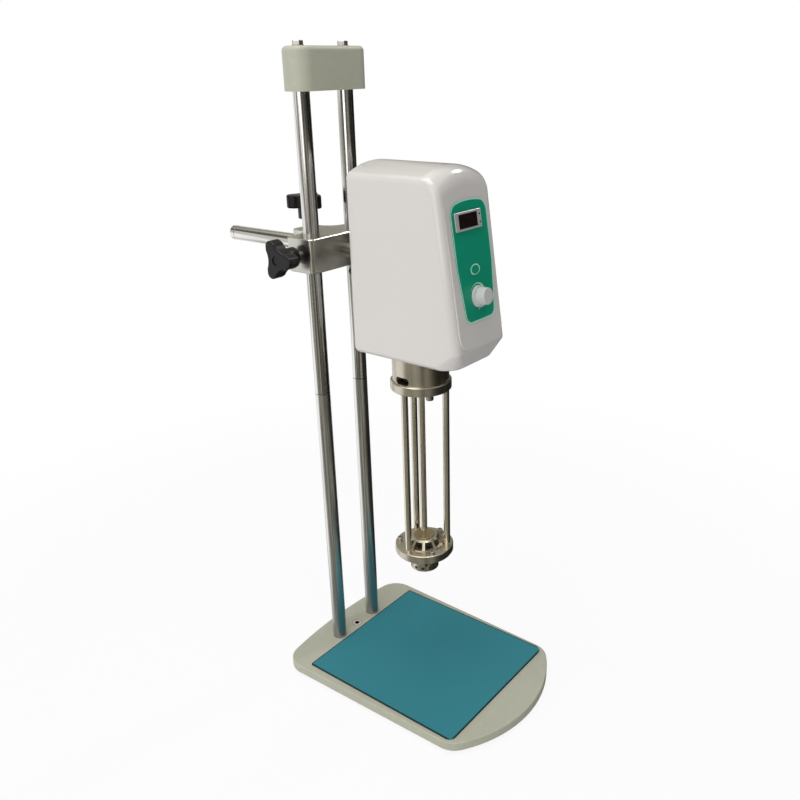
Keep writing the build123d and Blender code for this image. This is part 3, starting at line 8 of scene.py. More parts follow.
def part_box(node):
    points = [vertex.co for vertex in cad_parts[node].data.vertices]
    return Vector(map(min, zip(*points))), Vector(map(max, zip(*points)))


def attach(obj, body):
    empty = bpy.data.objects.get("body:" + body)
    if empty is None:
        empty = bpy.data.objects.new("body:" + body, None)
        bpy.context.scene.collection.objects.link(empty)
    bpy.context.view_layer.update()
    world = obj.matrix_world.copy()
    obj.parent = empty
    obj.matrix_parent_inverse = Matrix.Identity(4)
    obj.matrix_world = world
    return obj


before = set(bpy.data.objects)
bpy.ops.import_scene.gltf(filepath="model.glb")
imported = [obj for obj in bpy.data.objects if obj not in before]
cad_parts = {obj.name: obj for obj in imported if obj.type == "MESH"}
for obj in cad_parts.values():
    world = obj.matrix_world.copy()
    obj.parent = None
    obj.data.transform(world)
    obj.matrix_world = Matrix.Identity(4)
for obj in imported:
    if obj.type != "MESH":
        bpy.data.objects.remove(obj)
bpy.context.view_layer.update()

# ------------------------------------------------------------------ room
# What polished metal mirrors: a dim, uneven room with one tall white cloth behind and to the
# left and a pale ceiling. The camera sees plain white, and matt surfaces get a soft light.
room_light = 0.44
bright_side = (-0.95, 0.3, 0)
bright_reach, bright_share = (-0.6, 0.6), 1.15
front_share = 0.3                   # room light from the side away from the lamps
cloth_azimuth = radians(98)
cloth_edge = (0.55, 0.72)           # cosines of the angle at which the cloth begins
cloth_foot, cloth_head = (-0.75, -0.6), (0.3, 0.5)
ceiling_edge, ceiling_light = (0.58, 0.78), 0.85
dim_room = 0.17
furniture_scale, furniture_span, furniture_light = 5.0, (0.38, 0.64), (0.1, 2.4)
dark_corner = (0.79, -0.61, 0)
dark_reach, dark_share = (0.1, 0.85), 0.12
room_tint = (1.0, 0.96, 0.82)
white = (1, 1, 1)
level_only = (1, 1, 0)              # keeps a direction's level part


class Wire:
    """A shader socket that takes arithmetic: each sign adds the Math node for it."""

    def __init__(self, finish, socket):
        self.finish = finish
        self.socket = socket

    def out(self, name):
        return Wire(self.finish, self.socket.node.outputs[name])

    def maths(self, operation, *values):
        return self.finish.node("ShaderNodeMath", {"operation": operation}, dict(enumerate(values)))

    def larger(self, other):
        return self.maths("MAXIMUM", self, other)

    def __abs__(self):
        return self.maths("ABSOLUTE", self)

    def __add__(self, other):
        return self.maths("ADD", self, other)

    def __sub__(self, other):
        return self.maths("SUBTRACT", self, other)

    def __rsub__(self, other):
        return self.maths("SUBTRACT", other, self)

    def __mul__(self, other):
        return self.maths("MULTIPLY", self, other)

    def __truediv__(self, other):
        return self.maths("DIVIDE", self, other)

    def __pow__(self, other):
        return self.maths("POWER", self, other)

    def __gt__(self, other):
        return self.maths("GREATER_THAN", self, other)

    def __lt__(self, other):
        return self.maths("LESS_THAN", self, other)

    __radd__ = __add__
    __rmul__ = __mul__


class Finish:
    """A material or the world, built up one node at a time."""

    def __init__(self, name, owner=None):
        self.owner = owner or bpy.data.materials.new(name)
        self.owner.use_nodes = True
        self.tree = self.owner.node_tree
        self.shader = self.tree.nodes.get("Principled BSDF") or self.tree.nodes.get("Background")

    def node(self, kind, settings=None, feeds=None, output=0):
        """A node with its settings and the values or wires of its sockets."""
        made = self.tree.nodes.new(kind)
        for name, value in (settings or {}).items():
            setattr(made, name, value)
        for name, value in (feeds or {}).items():
            self.feed(made.inputs[name], value)
        return Wire(self, made.outputs[output])

    def feed(self, socket, value):
        if isinstance(value, Wire):
            self.tree.links.new(value.socket, socket)
        elif socket.type == "RGBA" and len(value) == 3:
            socket.default_value = (*value, 1)
        else:
            socket.default_value = value

    def set(self, **feeds):
        for name, value in feeds.items():
            self.feed(self.shader.inputs[name.replace("_", " ")], value)
        return self

    def vector(self, operation, *values):
        """Vector maths; a length or a product of two directions comes out as a number."""
        output = int(operation in ("LENGTH", "DOT_PRODUCT"))
        return self.node("ShaderNodeVectorMath", {"operation": operation}, dict(enumerate(values)), output)

    def axis(self, vector, name):
        """One of a vector's parts: X, Y or Z."""
        return self.node("ShaderNodeSeparateXYZ", None, {0: vector}).out(name)

    def place(self):
        """Where a point of the surface lies, in metres of the shared frame."""
        return self.node("ShaderNodeTexCoord").out("Object")

    def blend(self, mask, low, high):
        """Colour low where the mask is 0 and high where it is 1."""
        return self.node("ShaderNodeMix", {"data_type": "RGBA"}, {0: mask, 6: low, 7: high}, output=2)

    def span(self, wire, low, high, to_low=0.0, to_high=1.0):
        """A value mapped smoothly from one range to another."""
        return self.node(
            "ShaderNodeMapRange", {"interpolation_type": "SMOOTHSTEP"},
            {"Value": wire, "From Min": low, "From Max": high, "To Min": to_low, "To Max": to_high},
        )


room = Finish("room", bpy.context.scene.world or bpy.data.worlds.new("room"))
bpy.context.scene.world = room.owner
path = room.node("ShaderNodeLightPath")
away = room.node("ShaderNodeTexCoord").out("Generated")
level = room.vector("NORMALIZE", room.vector("MULTIPLY", away, level_only))
height = room.axis(away, "Z")
cloth = room.span(room.vector("DOT_PRODUCT", level, (cos(cloth_azimuth), sin(cloth_azimuth), 0)), *cloth_edge)
cloth = cloth * room.span(height, *cloth_foot) * (1 - room.span(height, *cloth_head))
ceiling = room.span(height, *ceiling_edge, 0, ceiling_light)
furniture = room.node("ShaderNodeTexNoise", None, {"Vector": level, "Scale": furniture_scale, "Detail": 3.0})
dim = dim_room * room.span(furniture, *furniture_span, *furniture_light)
dim = dim * room.span(room.vector("DOT_PRODUCT", level, dark_corner), *dark_reach, 1.0, dark_share)
facing = room.vector("DOT_PRODUCT", away, bright_side)
soft = room_light * room.span(facing, *bright_reach, front_share, bright_share)
mirrored = cloth.larger(ceiling + dim)
plain = path.out("Is Camera Ray")
shiny = path.out("Is Glossy Ray").larger(path.out("Is Transmission Ray"))
room.set(
    Color=room.blend(cloth.larger(1 - shiny), room_tint, white),
    Strength=plain + (1 - plain) * (shiny * mirrored + (1 - shiny) * soft),
)

# ------------------------------------------------------------------ paper sweep
# Matt white paper that keeps the object's shadow. To the camera it glows to plain white away
# from the object, and mirrors look through it to the room.
sweep_size = 12.0
sweep_fade = (0.45, 1.1)            # metres from the middle over which the shadow gives way
sweep_glow = 0.9
paper_grain = 900.0
paper_dull, paper_clean = (0.9, 0.9, 0.9), (0.96, 0.96, 0.96)
sweep_mesh = bpy.data.meshes.new("sweep")
half = sweep_size / 2
sweep_mesh.from_pydata(
    [(-half, -half, 0), (half, -half, 0), (half, half, 0), (-half, half, 0)], [], [(0, 1, 2, 3)]
)
sweep = bpy.data.objects.new("sweep", sweep_mesh)
bpy.context.scene.collection.objects.link(sweep)
paper = Finish("sweep_paper")
grain = paper.node("ShaderNodeTexNoise", None, {"Scale": paper_grain, "Detail": 3.0})
paper.set(Base_Color=paper.blend(grain, paper_dull, paper_clean), Roughness=0.95)
ray = paper.node("ShaderNodeLightPath")
glow = paper.node("ShaderNodeEmission", None, {"Color": white, "Strength": 1.0})
distance = paper.vector("LENGTH", paper.place())
in_view = ray.out("Is Camera Ray") * paper.span(distance, *sweep_fade, sweep_glow, 1.0)
lit = paper.node("ShaderNodeMixShader", None, {0: in_view, 1: Wire(paper, paper.shader.outputs[0]), 2: glow})
hidden = paper.node("ShaderNodeBsdfTransparent")
unmirrored = paper.node("ShaderNodeMixShader", None, {0: ray.out("Is Glossy Ray"), 1: lit, 2: hidden})
paper.feed(paper.tree.nodes["Material Output"].inputs["Surface"], unmirrored)
sweep_mesh.materials.append(paper.owner)

# ------------------------------------------------------------------ lamps
# Two wide soft lamps, one at the left and one above, and two small ones whose glints run along
# the head's rounded edges.
lamp_aim = Vector((0, -0.05, 0.4))
for name, place, size, power, colour in (
    ("side_lamp", (-2.2, -0.4, 1.0), 1.6, 13.5, (1, 0.955, 0.99)),
    ("top_lamp", (-0.3, 0.1, 2.6), 1.8, 28.0, white),
    ("tube_lamp", (-0.9, -1.3, 1.9), 0.1, 2.4, white),
    ("far_lamp", (1.44, -0.25, 1.75), 0.2, 5.0, white),
):
    lamp = bpy.data.lights.new(name, "AREA")
    lamp.size, lamp.energy, lamp.color = size, power, colour
    holder = bpy.data.objects.new(name, lamp)
    holder.location = place
    holder.rotation_euler = (lamp_aim - Vector(place)).to_track_quat("-Z", "Y").to_euler()
    bpy.context.scene.collection.objects.link(holder)

# ------------------------------------------------------------------ camera
# Stands at the front left, a little above the head, and is turned a degree about its own axis.
camera_place = Vector((-0.68968, -0.61757, 0.73457))
camera_azimuth, camera_rise, camera_roll = radians(-52.101), radians(23.624), radians(-0.989)
picture_side, focal_pixels = 800, 826.77
axis_pixel = (429.13, 425.79)
film_width = 36.0
nearest = 0.01
look = Vector((
    -sin(camera_azimuth) * cos(camera_rise), cos(camera_azimuth) * cos(camera_rise), -sin(camera_rise)
))
right = Vector((cos(camera_azimuth), sin(camera_azimuth), 0))
over = right.cross(look)
tilted_right = right * cos(camera_roll) + over * sin(camera_roll)
tilted_over = over * cos(camera_roll) - right * sin(camera_roll)
camera_data = bpy.data.cameras.new("camera")
camera_data.sensor_width = film_width
camera_data.lens = film_width * focal_pixels / picture_side
camera_data.shift_x = (picture_side / 2 - axis_pixel[0]) / picture_side
camera_data.shift_y = (axis_pixel[1] - picture_side / 2) / picture_side
camera_data.clip_start = nearest
camera = bpy.data.objects.new("camera", camera_data)
turn = Matrix((tilted_right, tilted_over, -look)).transposed().to_4x4()
camera.matrix_world = Matrix.Translation(camera_place) @ turn
bpy.context.scene.collection.objects.link(camera)
bpy.context.scene.camera = camera
bpy.context.scene.view_settings.view_transform = "Standard"

# ------------------------------------------------------------------ base plate and top cap
# Steel plate and cast cap, both sprayed in one warm grey enamel that dries with a fine
# orange peel and holds a little dust on its flat faces.


def pixel_colour(red, green, blue):
    """A colour given in screen values of 0 to 255, as the shader wants it."""
    shares = [value / 255 for value in (red, green, blue)]
    return tuple(s / 12.92 if s <= 0.04045 else ((s + 0.055) / 1.055) ** 2.4 for s in shares)


def toned(colour, share):
    """The same colour made deeper or paler by a share."""
    return tuple(share * part for part in colour)


def dress(finish, *nodes):
    """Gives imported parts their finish."""
    for node in nodes:
        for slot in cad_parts[node].material_slots:
            slot.material = finish.owner


def spots(finish, scale, detail, stretch=(1, 1, 1)):
    """Cloudy variation in the part's own coordinates; the scale is in spots per metre."""
    place = finish.node("ShaderNodeMapping", None, {"Vector": finish.place(), "Scale": stretch})
    return finish.node("ShaderNodeTexNoise", None, {"Vector": place, "Scale": scale, "Detail": detail})


def bumps(finish, relief, depth, strength):
    """A normal roughened by relief; the depth is in metres."""
    return finish.node("ShaderNodeBump", None, {"Height": relief, "Distance": depth, "Strength": strength})


enamel_tone = pixel_colour(192, 193, 174)
enamel_deep, enamel_dusty = toned(enamel_tone, 0.9), toned(enamel_tone, 1.15)
dust_span, dust_most = (0.5, 0.78), 0.3
enamel = Finish("grey_enamel")
peel = spots(enamel, scale=1400, detail=2)
cloud = spots(enamel, scale=9, detail=2)
dust = enamel.span(spots(enamel, scale=120, detail=6), *dust_span, 0, dust_most)
enamel.set(
    Base_Color=enamel.blend(dust, enamel.blend(cloud, enamel_deep, enamel_tone), enamel_dusty),
    Roughness=0.42 + 0.15 * dust,
    Normal=bumps(enamel, peel, depth=0.00006, strength=0.5),
    Specular_IOR_Level=0.4,
)
dress(enamel, "base_plate", "top_cap")

# ------------------------------------------------------------------ work mat
# Teal rubber sheet laid in the plate's middle, matt, with a fine moulded grain and slightly
# deeper colour where it has been wiped. Its edges are painted dark as shade.
mat_tone = pixel_colour(52, 138, 151)
mat_deep, mat_edge_shade = toned(mat_tone, 0.86), toned(mat_tone, 0.12)
edge_shade_width = 0.0014                    # width of the painted edge shade, as seen from above
pore_share, wiped_share = 0.25, 0.6
mat_low, mat_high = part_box("work_mat")
mat_middle, mat_half = (mat_low + mat_high) / 2, (mat_high - mat_low) / 2
mat = Finish("teal_rubber")
wiped = spots(mat, scale=14, detail=5, stretch=(1, 2.5, 1))
pores = spots(mat, scale=2600, detail=1)
outwards = mat.vector("ABSOLUTE", mat.vector("SUBTRACT", mat.place(), tuple(mat_middle)))
sideways = mat.axis(outwards, "X")
# Painted shade: the mat's side faces and a thin strip along its top edge turn dark.
shaded_edge = (sideways > mat_half.x - edge_shade_width).larger(sideways.out("Y") > mat_half.y - edge_shade_width)
mat_top = mat.blend(pores * pore_share + wiped * wiped_share, mat_deep, mat_tone)
mat.set(
    Base_Color=mat.blend(shaded_edge, mat_top, mat_edge_shade),
    Roughness=0.62 + 0.2 * wiped,
    Normal=bumps(mat, pores, depth=0.00008, strength=0.7),
    Specular_IOR_Level=0.35,
)
dress(mat, "work_mat")

# ------------------------------------------------------------------ feet
# Four moulded black rubber feet, matt and slightly dusty. Each is held under a corner of the
# plate by its own screw.
rubber_black, rubber_scuffed = (0.018, 0.018, 0.018), (0.06, 0.058, 0.055)
foot_rubber = Finish("foot_rubber")
scuff = spots(foot_rubber, scale=300, detail=4)
foot_rubber.set(
    Base_Color=foot_rubber.blend(scuff, rubber_black, rubber_scuffed),
    Roughness=0.75 + 0.15 * scuff,
    Normal=bumps(foot_rubber, scuff, depth=0.0001, strength=0.4),
)
dress(foot_rubber, "rubber_feet")

# ------------------------------------------------------------------ screws and bolts
# Zinc plated and stainless fasteners with the faint mottle of plating. They hold the stand, the
# head and the cage together, and the motor's ball bearings share their finish.
plating_dull, plating_bright = (0.38, 0.37, 0.34), (0.6, 0.59, 0.56)
fastener = Finish("plated_steel")
mottle = spots(fastener, scale=900, detail=4)
fastener.set(
    Base_Color=fastener.blend(mottle, plating_dull, plating_bright),
    Metallic=1.0,
    Roughness=0.28 + 0.18 * mottle,
    Normal=bumps(fastener, mottle, depth=0.00005, strength=0.3),
)
dress(
    fastener, "foot_screws", "column_screws", "cap_washers", "cap_bolts", "side_knob_stud",
    "bar_knob_stud", "cover_screws", "bar_set_screw", "dial_shaft", "motor_screws", "motor_bearings",
    "neck_screws", "ring_screws", "post_screws", "flange_screws", "coupling_screws", "rotor_nut",
)

# ------------------------------------------------------------------ countersunk screw in the plate
# Bright zinc screw set flush in the plate between the columns. Its hexagon socket and the
# rim of its head are painted near black as shade.
zinc_dull, zinc_bright = (0.62, 0.61, 0.57), (0.8, 0.79, 0.75)
recess_shade_tone = (0.012, 0.011, 0.01)
socket_shade = 0.0004               # depth at which the socket turns dark
head_edge = 0.0062                  # radius beyond which painted shade darkens the head's rim
seat_low, seat_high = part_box("centre_screw")
zinc = Finish("bright_zinc")
speckle = spots(zinc, scale=1200, detail=3)
seat_middle = ((seat_low.x + seat_high.x) / 2, (seat_low.y + seat_high.y) / 2, seat_high.z)
into = zinc.vector("SUBTRACT", zinc.place(), seat_middle)
past_head = zinc.vector("LENGTH", zinc.vector("MULTIPLY", into, level_only)) > head_edge
# Painted shade: near black inside the socket and round the head's rim.
recess_shade = (zinc.axis(into, "Z") < -socket_shade).larger(past_head)
zinc.set(
    Base_Color=zinc.blend(recess_shade, zinc.blend(speckle, zinc_dull, zinc_bright), recess_shade_tone),
    Metallic=0.8,
    Roughness=0.34 + 0.1 * speckle,
)
dress(zinc, "centre_screw")

# ------------------------------------------------------------------ columns and support bar
# Centreless-ground rods, hard chromed and polished lengthwise, with hair-fine lines along them.
# Dark and bright lengthwise streaks are painted into their colour as reflections of the room.
# Each column is screwed together from two lengths that meet in a fine dark line; the lower one is
# more worn, its painted dark streaks paler, and its foot greyer and duller.
seam_height, seam_half = 0.3738, 0.00035
seam_dark = (0.06, 0.06, 0.05)
foot_heights = (0.03, 0.16)         # heights between which the greyer, duller foot fades out
foot_grey = (0.42, 0.43, 0.43)
# Painted reflections: lengthwise dark and bright streaks in the colour stand for the mirrored room; the lower
# length's dark streaks are paler.
reflection_dark, reflection_dark_lower, reflection_bright = (0.3, 0.29, 0.26), (0.44, 0.44, 0.42), (0.84, 0.84, 0.81)
reflection_span = (0.36, 0.62)
chrome = Finish("polished_chrome")
hairs = spots(chrome, scale=1800, detail=2, stretch=(1, 1, 0.01))
reflection_streaks = chrome.span(spots(chrome, scale=420, detail=2, stretch=(1, 1, 0.015)), *reflection_span)
haze = spots(chrome, scale=30, detail=3, stretch=(1, 1, 0.15))
rod_rise = chrome.axis(chrome.place(), "Z")
# Greyer and duller towards the foot of each column.
towards_foot = 1 - chrome.span(rod_rise, *foot_heights)
lower_length = rod_rise < seam_height
painted_reflection = chrome.blend(reflection_streaks, chrome.blend(lower_length, reflection_dark, reflection_dark_lower), reflection_bright)
dulled = chrome.blend(towards_foot, painted_reflection, foot_grey)
chrome.set(
    Base_Color=chrome.blend(abs(rod_rise - seam_height) < seam_half, dulled, seam_dark),
    Metallic=1.0,
    Roughness=0.12 + 0.16 * haze + 0.1 * towards_foot + 0.08 * lower_length,
    Normal=bumps(chrome, hairs, depth=0.00002, strength=0.35),
)
dress(chrome, "column_left", "column_right")

# The bar carries the same painted reflection bands in its colour, running along its length.
bar_reflection_dark, bar_reflection_bright = (0.45, 0.44, 0.4), (0.88, 0.87, 0.84)
bar_chrome = Finish("bar_chrome")
rings = spots(bar_chrome, scale=1800, detail=2, stretch=(1, 0.01, 1))
bar_reflection_bands = bar_chrome.span(spots(bar_chrome, scale=300, detail=2, stretch=(1, 0.015, 1)), *reflection_span)
bar_haze = spots(bar_chrome, scale=40, detail=3, stretch=(1, 0.2, 1))
bar_chrome.set(
    Base_Color=bar_chrome.blend(bar_reflection_bands, bar_reflection_dark, bar_reflection_bright),
    Metallic=1.0,
    Roughness=0.1 + 0.1 * bar_haze,
    Normal=bumps(bar_chrome, rings, depth=0.00002, strength=0.35),
)
dress(bar_chrome, "support_bar")

# ------------------------------------------------------------------ cross clamp
# Steel block milled to a T and satin nickel plated. It slides on both columns and grips the bar,
# and the cutter's faint passes run along its length.
nickel_stained, nickel_clean = (0.46, 0.44, 0.38), (0.74, 0.73, 0.67)
nickel = Finish("satin_nickel")
passes = spots(nickel, scale=900, detail=3, stretch=(0.03, 1, 1))
stain = spots(nickel, scale=35, detail=4)
nickel.set(
    Base_Color=nickel.blend(stain, nickel_stained, nickel_clean),
    Metallic=1.0,
    Roughness=0.2 + 0.12 * stain,
    Normal=bumps(nickel, passes, depth=0.00003, strength=0.35),
)
dress(nickel, "clamp_block")

# ------------------------------------------------------------------ clamp knobs and cable gland
# Black phenolic mouldings with a soft shine, slightly greyed where hands hold them. The grips are
# moulded round their studs, and the gland is screwed into the head.
phenolic_black, phenolic_grey = (0.003, 0.003, 0.003), (0.01, 0.009, 0.009)
phenolic = Finish("black_phenolic")
handled = spots(phenolic, scale=60, detail=4)
flow = spots(phenolic, scale=1500, detail=2)
phenolic.set(
    Base_Color=phenolic.blend(handled, phenolic_black, phenolic_grey),
    Roughness=0.26 + 0.2 * handled,
    Normal=bumps(phenolic, flow, depth=0.00003, strength=0.4),
    Specular_IOR_Level=0.3,
)
dress(phenolic, "side_knob_grip", "bar_knob_grip", "cable_gland", "gland_nut", "button_switch", "cooling_fan")

# ------------------------------------------------------------------ head housing
# Hollow off-white moulding that closes round the motor, open at the back. It is lacquered, with
# a fine ripple and a trace of yellowing.
shell_tone = pixel_colour(222, 219, 214)
shell_yellowed = toned(shell_tone, 0.95)
shell = Finish("gloss_shell")
ripple = spots(shell, scale=55, detail=1)
yellowing = spots(shell, scale=5, detail=2)
shell.set(
    Base_Color=shell.blend(yellowing, shell_yellowed, shell_tone),
    Roughness=0.16 + 0.05 * ripple,
    Normal=bumps(shell, ripple, depth=0.00012, strength=0.25),
    Coat_Weight=0.6,
    Coat_Roughness=0.04,
)
dress(shell, "head_housing")

# ------------------------------------------------------------------ back cover
# Punched steel sheet in the housing's colour, sprayed a little flatter and held in the head's
# back by four screws.
cover_dusty, cover_clean = pixel_colour(205, 203, 200), pixel_colour(222, 220, 217)
cover_paint = Finish("cover_paint")
cover_peel = spots(cover_paint, scale=1200, detail=2)
cover_dust = spots(cover_paint, scale=80, detail=5)
cover_paint.set(
    Base_Color=cover_paint.blend(cover_dust, cover_dusty, cover_clean),
    Roughness=0.38 + 0.12 * cover_dust,
    Normal=bumps(cover_paint, cover_peel, depth=0.00006, strength=0.5),
)
dress(cover_paint, "back_cover")

# ------------------------------------------------------------------ motor frame
# Sand cast alloy, machined only where the bar and the motor sit. It carries the whole head, and
# the shaft coupling has the same finish.
alloy_dark, alloy_pale = (0.42, 0.42, 0.42), (0.66, 0.66, 0.65)
casting = Finish("cast_alloy")
sand = spots(casting, scale=700, detail=5)
casting.set(
    Base_Color=casting.blend(sand, alloy_dark, alloy_pale),
    Metallic=1.0,
    Roughness=0.42 + 0.2 * sand,
    Normal=bumps(casting, sand, depth=0.0002, strength=0.5),
)
dress(casting, "motor_frame", "shaft_coupling")

# ------------------------------------------------------------------ control overlay
# Green polycarbonate film printed from behind with a pale mint rim, a widening arc and a dot
# round the dial. The start button under it carries a printed ring.
film_tone = pixel_colour(2, 154, 119)
film_faded = toned(film_tone, 0.9)
mint_tone = pixel_colour(176, 240, 216)
mint_thin = toned(mint_tone, 0.9)
face_lean = radians(8.8)
rim_width, rim_thickness = 0.0013, 0.00008
arc_radius, arc_width = 0.0128, 0.0011
arc_growth = 0.075                  # how much the arc widens for each unit towards +X
arc_reach = 0.55                    # cosine of the angle at which the arc ends
dot_drop, dot_radius = 0.0132, 0.0008
ring_half = (0.0081, 0.0056)        # half the printed ring's width and height
ring_share = 0.81                   # inner edge of the ring, as a share of its outer edge
front_cosine = 0.99                 # least cosine of a face that counts as the plate's front
weld_distance = 1e-6
film_low, film_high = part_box("panel_overlay")
film_middle = (film_low + film_high) / 2
dial_low, dial_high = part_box("dial_shaft")
button_low, button_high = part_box("start_button")
outward = Vector((0, -cos(face_lean), sin(face_lean)))
upward = Vector((0, sin(face_lean), cos(face_lean)))


def printed_film(name):
    """The film's green with its light texture; returns the finish and its colour."""
    finish = Finish(name)
    texture = spots(finish, scale=3000, detail=1)
    fading = spots(finish, scale=20, detail=3)
    finish.set(
        Roughness=0.34 + 0.1 * texture,
        Normal=bumps(finish, texture, depth=0.00004, strength=0.4),
        Specular_IOR_Level=0.3,
    )
    return finish, finish.blend(fading, film_faded, film_tone)


def on_panel(finish, middle):
    """Distances to the right of a place on the control face and above it."""
    from_it = finish.vector("SUBTRACT", finish.place(), tuple(middle))
    return finish.axis(from_it, "X"), finish.vector("DOT_PRODUCT", from_it, tuple(upward))


film, film_green = printed_film("green_film")
across, above = on_panel(film, (dial_low + dial_high) / 2)
reach = (across ** 2 + above ** 2) ** 0.5
arc_outer = arc_radius + arc_width + arc_growth * across
arc = (reach > arc_radius) * (reach < arc_outer) * (above > reach * arc_reach)
dot = (across ** 2 + (above + dot_drop) ** 2) < dot_radius ** 2
film.set(Base_Color=film.blend(arc + dot, film_green, mint_tone))
dress(film, "panel_overlay")


def outer_loop(node, facing):
    """Corners of the outer edge of a packed plate's front face, in order."""
    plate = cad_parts[node]
    shape = bmesh.new()
    shape.from_mesh(plate.data)
    shape.transform(plate.matrix_world)
    bmesh.ops.remove_doubles(shape, verts=shape.verts, dist=weld_distance)
    front = {face for face in shape.faces if face.normal.dot(facing) > front_cosine}
    beside = {}
    for edge in shape.edges:
        if len([face for face in edge.link_faces if face in front]) == 1:
            for first, second in (edge.verts, reversed(edge.verts)):
                beside.setdefault(first.co.copy().freeze(), []).append(second.co.copy().freeze())
    start = max(beside, key=lambda corner: corner.z)
    loop = [start, beside[start][0]]
    while loop[-1] != start:
        loop.append(next(corner for corner in beside[loop[-1]] if corner != loop[-2]))
    shape.free()
    return loop[:-1]


rim_loop = outer_loop("panel_overlay", outward)
count = len(rim_loop)
inner_loop = []
for index, corner in enumerate(rim_loop):
    along = (rim_loop[(index + 1) % count] - rim_loop[index - 1]).normalized()
    inner_loop.append(corner + outward.cross(along) * rim_width)
spread = sum((corner - film_middle).length for corner in inner_loop)
if spread > sum((corner - film_middle).length for corner in rim_loop):
    inner_loop = [2 * corner - inset for corner, inset in zip(rim_loop, inner_loop)]
corners = [corner + outward * lift for lift in (0, rim_thickness) for corner in rim_loop + inner_loop]
low_outer, low_inner, high_outer, high_inner = range(0, 4 * count, count)
faces = []
for index in range(count):
    after = (index + 1) % count
    faces += [
        (high_outer + index, high_outer + after, high_inner + after, high_inner + index),
        (low_outer + index, low_inner + index, low_inner + after, low_outer + after),
        (low_outer + index, low_outer + after, high_outer + after, high_outer + index),
        (low_inner + index, high_inner + index, high_inner + after, low_inner + after),
    ]
rim_mesh = bpy.data.meshes.new("printed_rim")
rim_mesh.from_pydata(corners, [], faces)
shape = bmesh.new()
shape.from_mesh(rim_mesh)
bmesh.ops.recalc_face_normals(shape, faces=shape.faces)
shape.to_mesh(rim_mesh)
shape.free()
printed_rim = bpy.data.objects.new("printed_rim", rim_mesh)
bpy.context.scene.collection.objects.link(printed_rim)
mint = Finish("mint_ink")
ink = spots(mint, scale=1500, detail=3)
mint.set(
    Base_Color=mint.blend(ink, mint_thin, mint_tone),
    Roughness=0.36 + 0.1 * ink,
    Normal=bumps(mint, ink, depth=0.00002, strength=0.3),
)
rim_mesh.materials.append(mint.owner)
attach(printed_rim, "head")

button_film, button_green = printed_film("button_film")
across, above = on_panel(button_film, (button_low + button_high) / 2)
share = ((across / ring_half[0]) ** 2 + (above / ring_half[1]) ** 2) ** 0.5
ring = (share > ring_share) * (share < 1.0)
button_film.set(Base_Color=button_film.blend(ring, button_green, mint_tone))
dress(button_film, "start_button")

# ------------------------------------------------------------------ display and lights
# Silver framed digital module with a smoked window, set in the panel. Its two lights are dark
# when it is off.
silver_dull, silver_bright = (0.46, 0.47, 0.46), (0.62, 0.63, 0.62)
silver = Finish("silver_frame")
brush = spots(silver, scale=1500, detail=2, stretch=(0.05, 1, 1))
silver.set(
    Base_Color=silver.blend(brush, silver_dull, silver_bright),
    Metallic=0.25,
    Roughness=0.3 + 0.12 * brush,
    Normal=bumps(silver, brush, depth=0.00002, strength=0.3),
)
dress(silver, "display_bezel", "potentiometer")

smoke_clear, smoke_smeared = (0.006, 0.003, 0.003), (0.02, 0.012, 0.011)
smoked = Finish("smoked_window")
smears = spots(smoked, scale=150, detail=4)
smoked.set(
    Base_Color=smoked.blend(smears, smoke_clear, smoke_smeared),
    Roughness=0.08 + 0.12 * smears,
    Normal=bumps(smoked, smears, depth=0.00003, strength=0.2),
)
dress(smoked, "display_window", "status_leds")

# ------------------------------------------------------------------ speed dial
# Light grey moulded knob with a satin skin, pushed onto the potentiometer's shaft and slightly
# darker where fingers turn it.
dial_touched, dial_clean = pixel_colour(196, 198, 196), pixel_colour(214, 216, 213)
dial = Finish("grey_knob")
skin = spots(dial, scale=1800, detail=2)
touched = spots(dial, scale=90, detail=3)
dial.set(
    Base_Color=dial.blend(touched, dial_touched, dial_clean),
    Roughness=0.36 + 0.12 * touched,
    Normal=bumps(dial, skin, depth=0.00004, strength=0.4),
)
dress(dial, "speed_knob")

# ------------------------------------------------------------------ inside the head
# Circuit board in green laminate behind the panel, and a universal motor: a plated can, field
# and armature of laminated steel, and two carbon brushes.
resin_deep, resin_pale = (0.01, 0.1, 0.04), (0.02, 0.16, 0.07)
laminate = Finish("board_laminate")
weave = spots(laminate, scale=1200, detail=2)
laminate.set(Base_Color=laminate.blend(weave, resin_deep, resin_pale), Roughness=0.4 + 0.1 * weave)
dress(laminate, "control_board")

can_dull, can_bright = (0.3, 0.3, 0.3), (0.5, 0.5, 0.5)
motor_steel = Finish("motor_steel")
plating = spots(motor_steel, scale=500, detail=4)
motor_steel.set(
    Base_Color=motor_steel.blend(plating, can_dull, can_bright),
    Metallic=1.0,
    Roughness=0.35 + 0.2 * plating,
)
dress(motor_steel, "motor_can", "motor_field", "armature")

carbon_black, carbon_dusty = (0.01, 0.01, 0.01), (0.03, 0.03, 0.03)
carbon = Finish("brush_carbon")
soot = spots(carbon, scale=900, detail=4)
carbon.set(Base_Color=carbon.blend(soot, carbon_black, carbon_dusty), Roughness=0.6 + 0.2 * soot)
dress(carbon, "carbon_brushes")

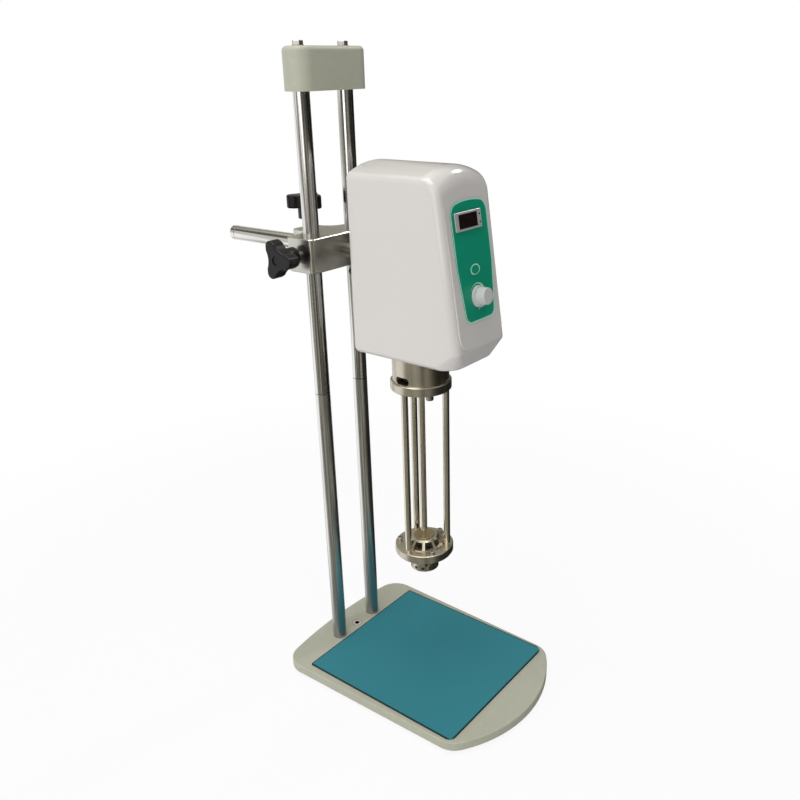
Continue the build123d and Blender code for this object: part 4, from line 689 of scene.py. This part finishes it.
# ------------------------------------------------------------------ neck, cage and work head
# Turned stainless steel: fine lathe lines run round the spindle, and the posts and the shaft
# are polished lengthwise.
steel_tarnished, steel_clean = (0.46, 0.42, 0.33), (0.8, 0.76, 0.65)
lathe_lines = 2600.0                # lathe marks per metre
sleeve_low, sleeve_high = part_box("neck_sleeve")
spindle_y = sleeve_low.y + (sleeve_high.y - sleeve_low.y) / 2
turned = Finish("turned_stainless")
at = turned.place()
off_spindle = turned.vector("MULTIPLY", turned.vector("SUBTRACT", at, (0, spindle_y, 0)), level_only)
pass_place = turned.node(
    "ShaderNodeCombineXYZ", None, {0: turned.vector("LENGTH", off_spindle), 1: turned.axis(at, "Z")}
)
lathe = turned.node("ShaderNodeTexNoise", None, {"Vector": pass_place, "Scale": lathe_lines, "Detail": 2.0})
tarnish = spots(turned, scale=45, detail=4)
turned.set(
    Base_Color=turned.blend(tarnish, steel_tarnished, steel_clean),
    Metallic=1.0,
    Roughness=0.24 + 0.14 * tarnish,
    Normal=bumps(turned, lathe, depth=0.00003, strength=0.5),
)
dress(turned, "neck_sleeve", "cage_ring", "lower_flange", "bearing_hub", "stator_head", "cutting_rotor")

steel_clouded, steel_polished = (0.66, 0.61, 0.5), (0.96, 0.91, 0.79)
polished = Finish("polished_stainless")
drawn = spots(polished, scale=1600, detail=2, stretch=(1, 1, 0.01))
clouding = spots(polished, scale=50, detail=4, stretch=(1, 1, 0.3))
polished.set(
    Base_Color=polished.blend(clouding, steel_clouded, steel_polished),
    Metallic=1.0,
    Roughness=0.13 + 0.12 * clouding,
    Normal=bumps(polished, drawn, depth=0.00002, strength=0.4),
)
dress(polished, "support_posts", "drive_shaft")

# ------------------------------------------------------------------ shaft bush
# Plain bush of sintered bronze, pressed into the bearing hub and darkened brown by the liquids
# that it runs in.
bronze_dark, bronze_bright = (0.2, 0.155, 0.085), (0.46, 0.38, 0.24)
bronze = Finish("browned_bronze")
patina = spots(bronze, scale=400, detail=4)
bronze.set(
    Base_Color=bronze.blend(patina, bronze_dark, bronze_bright),
    Metallic=0.9,
    Roughness=0.4 + 0.2 * patina,
    Normal=bumps(bronze, patina, depth=0.00005, strength=0.4),
)
dress(bronze, "shaft_bush")
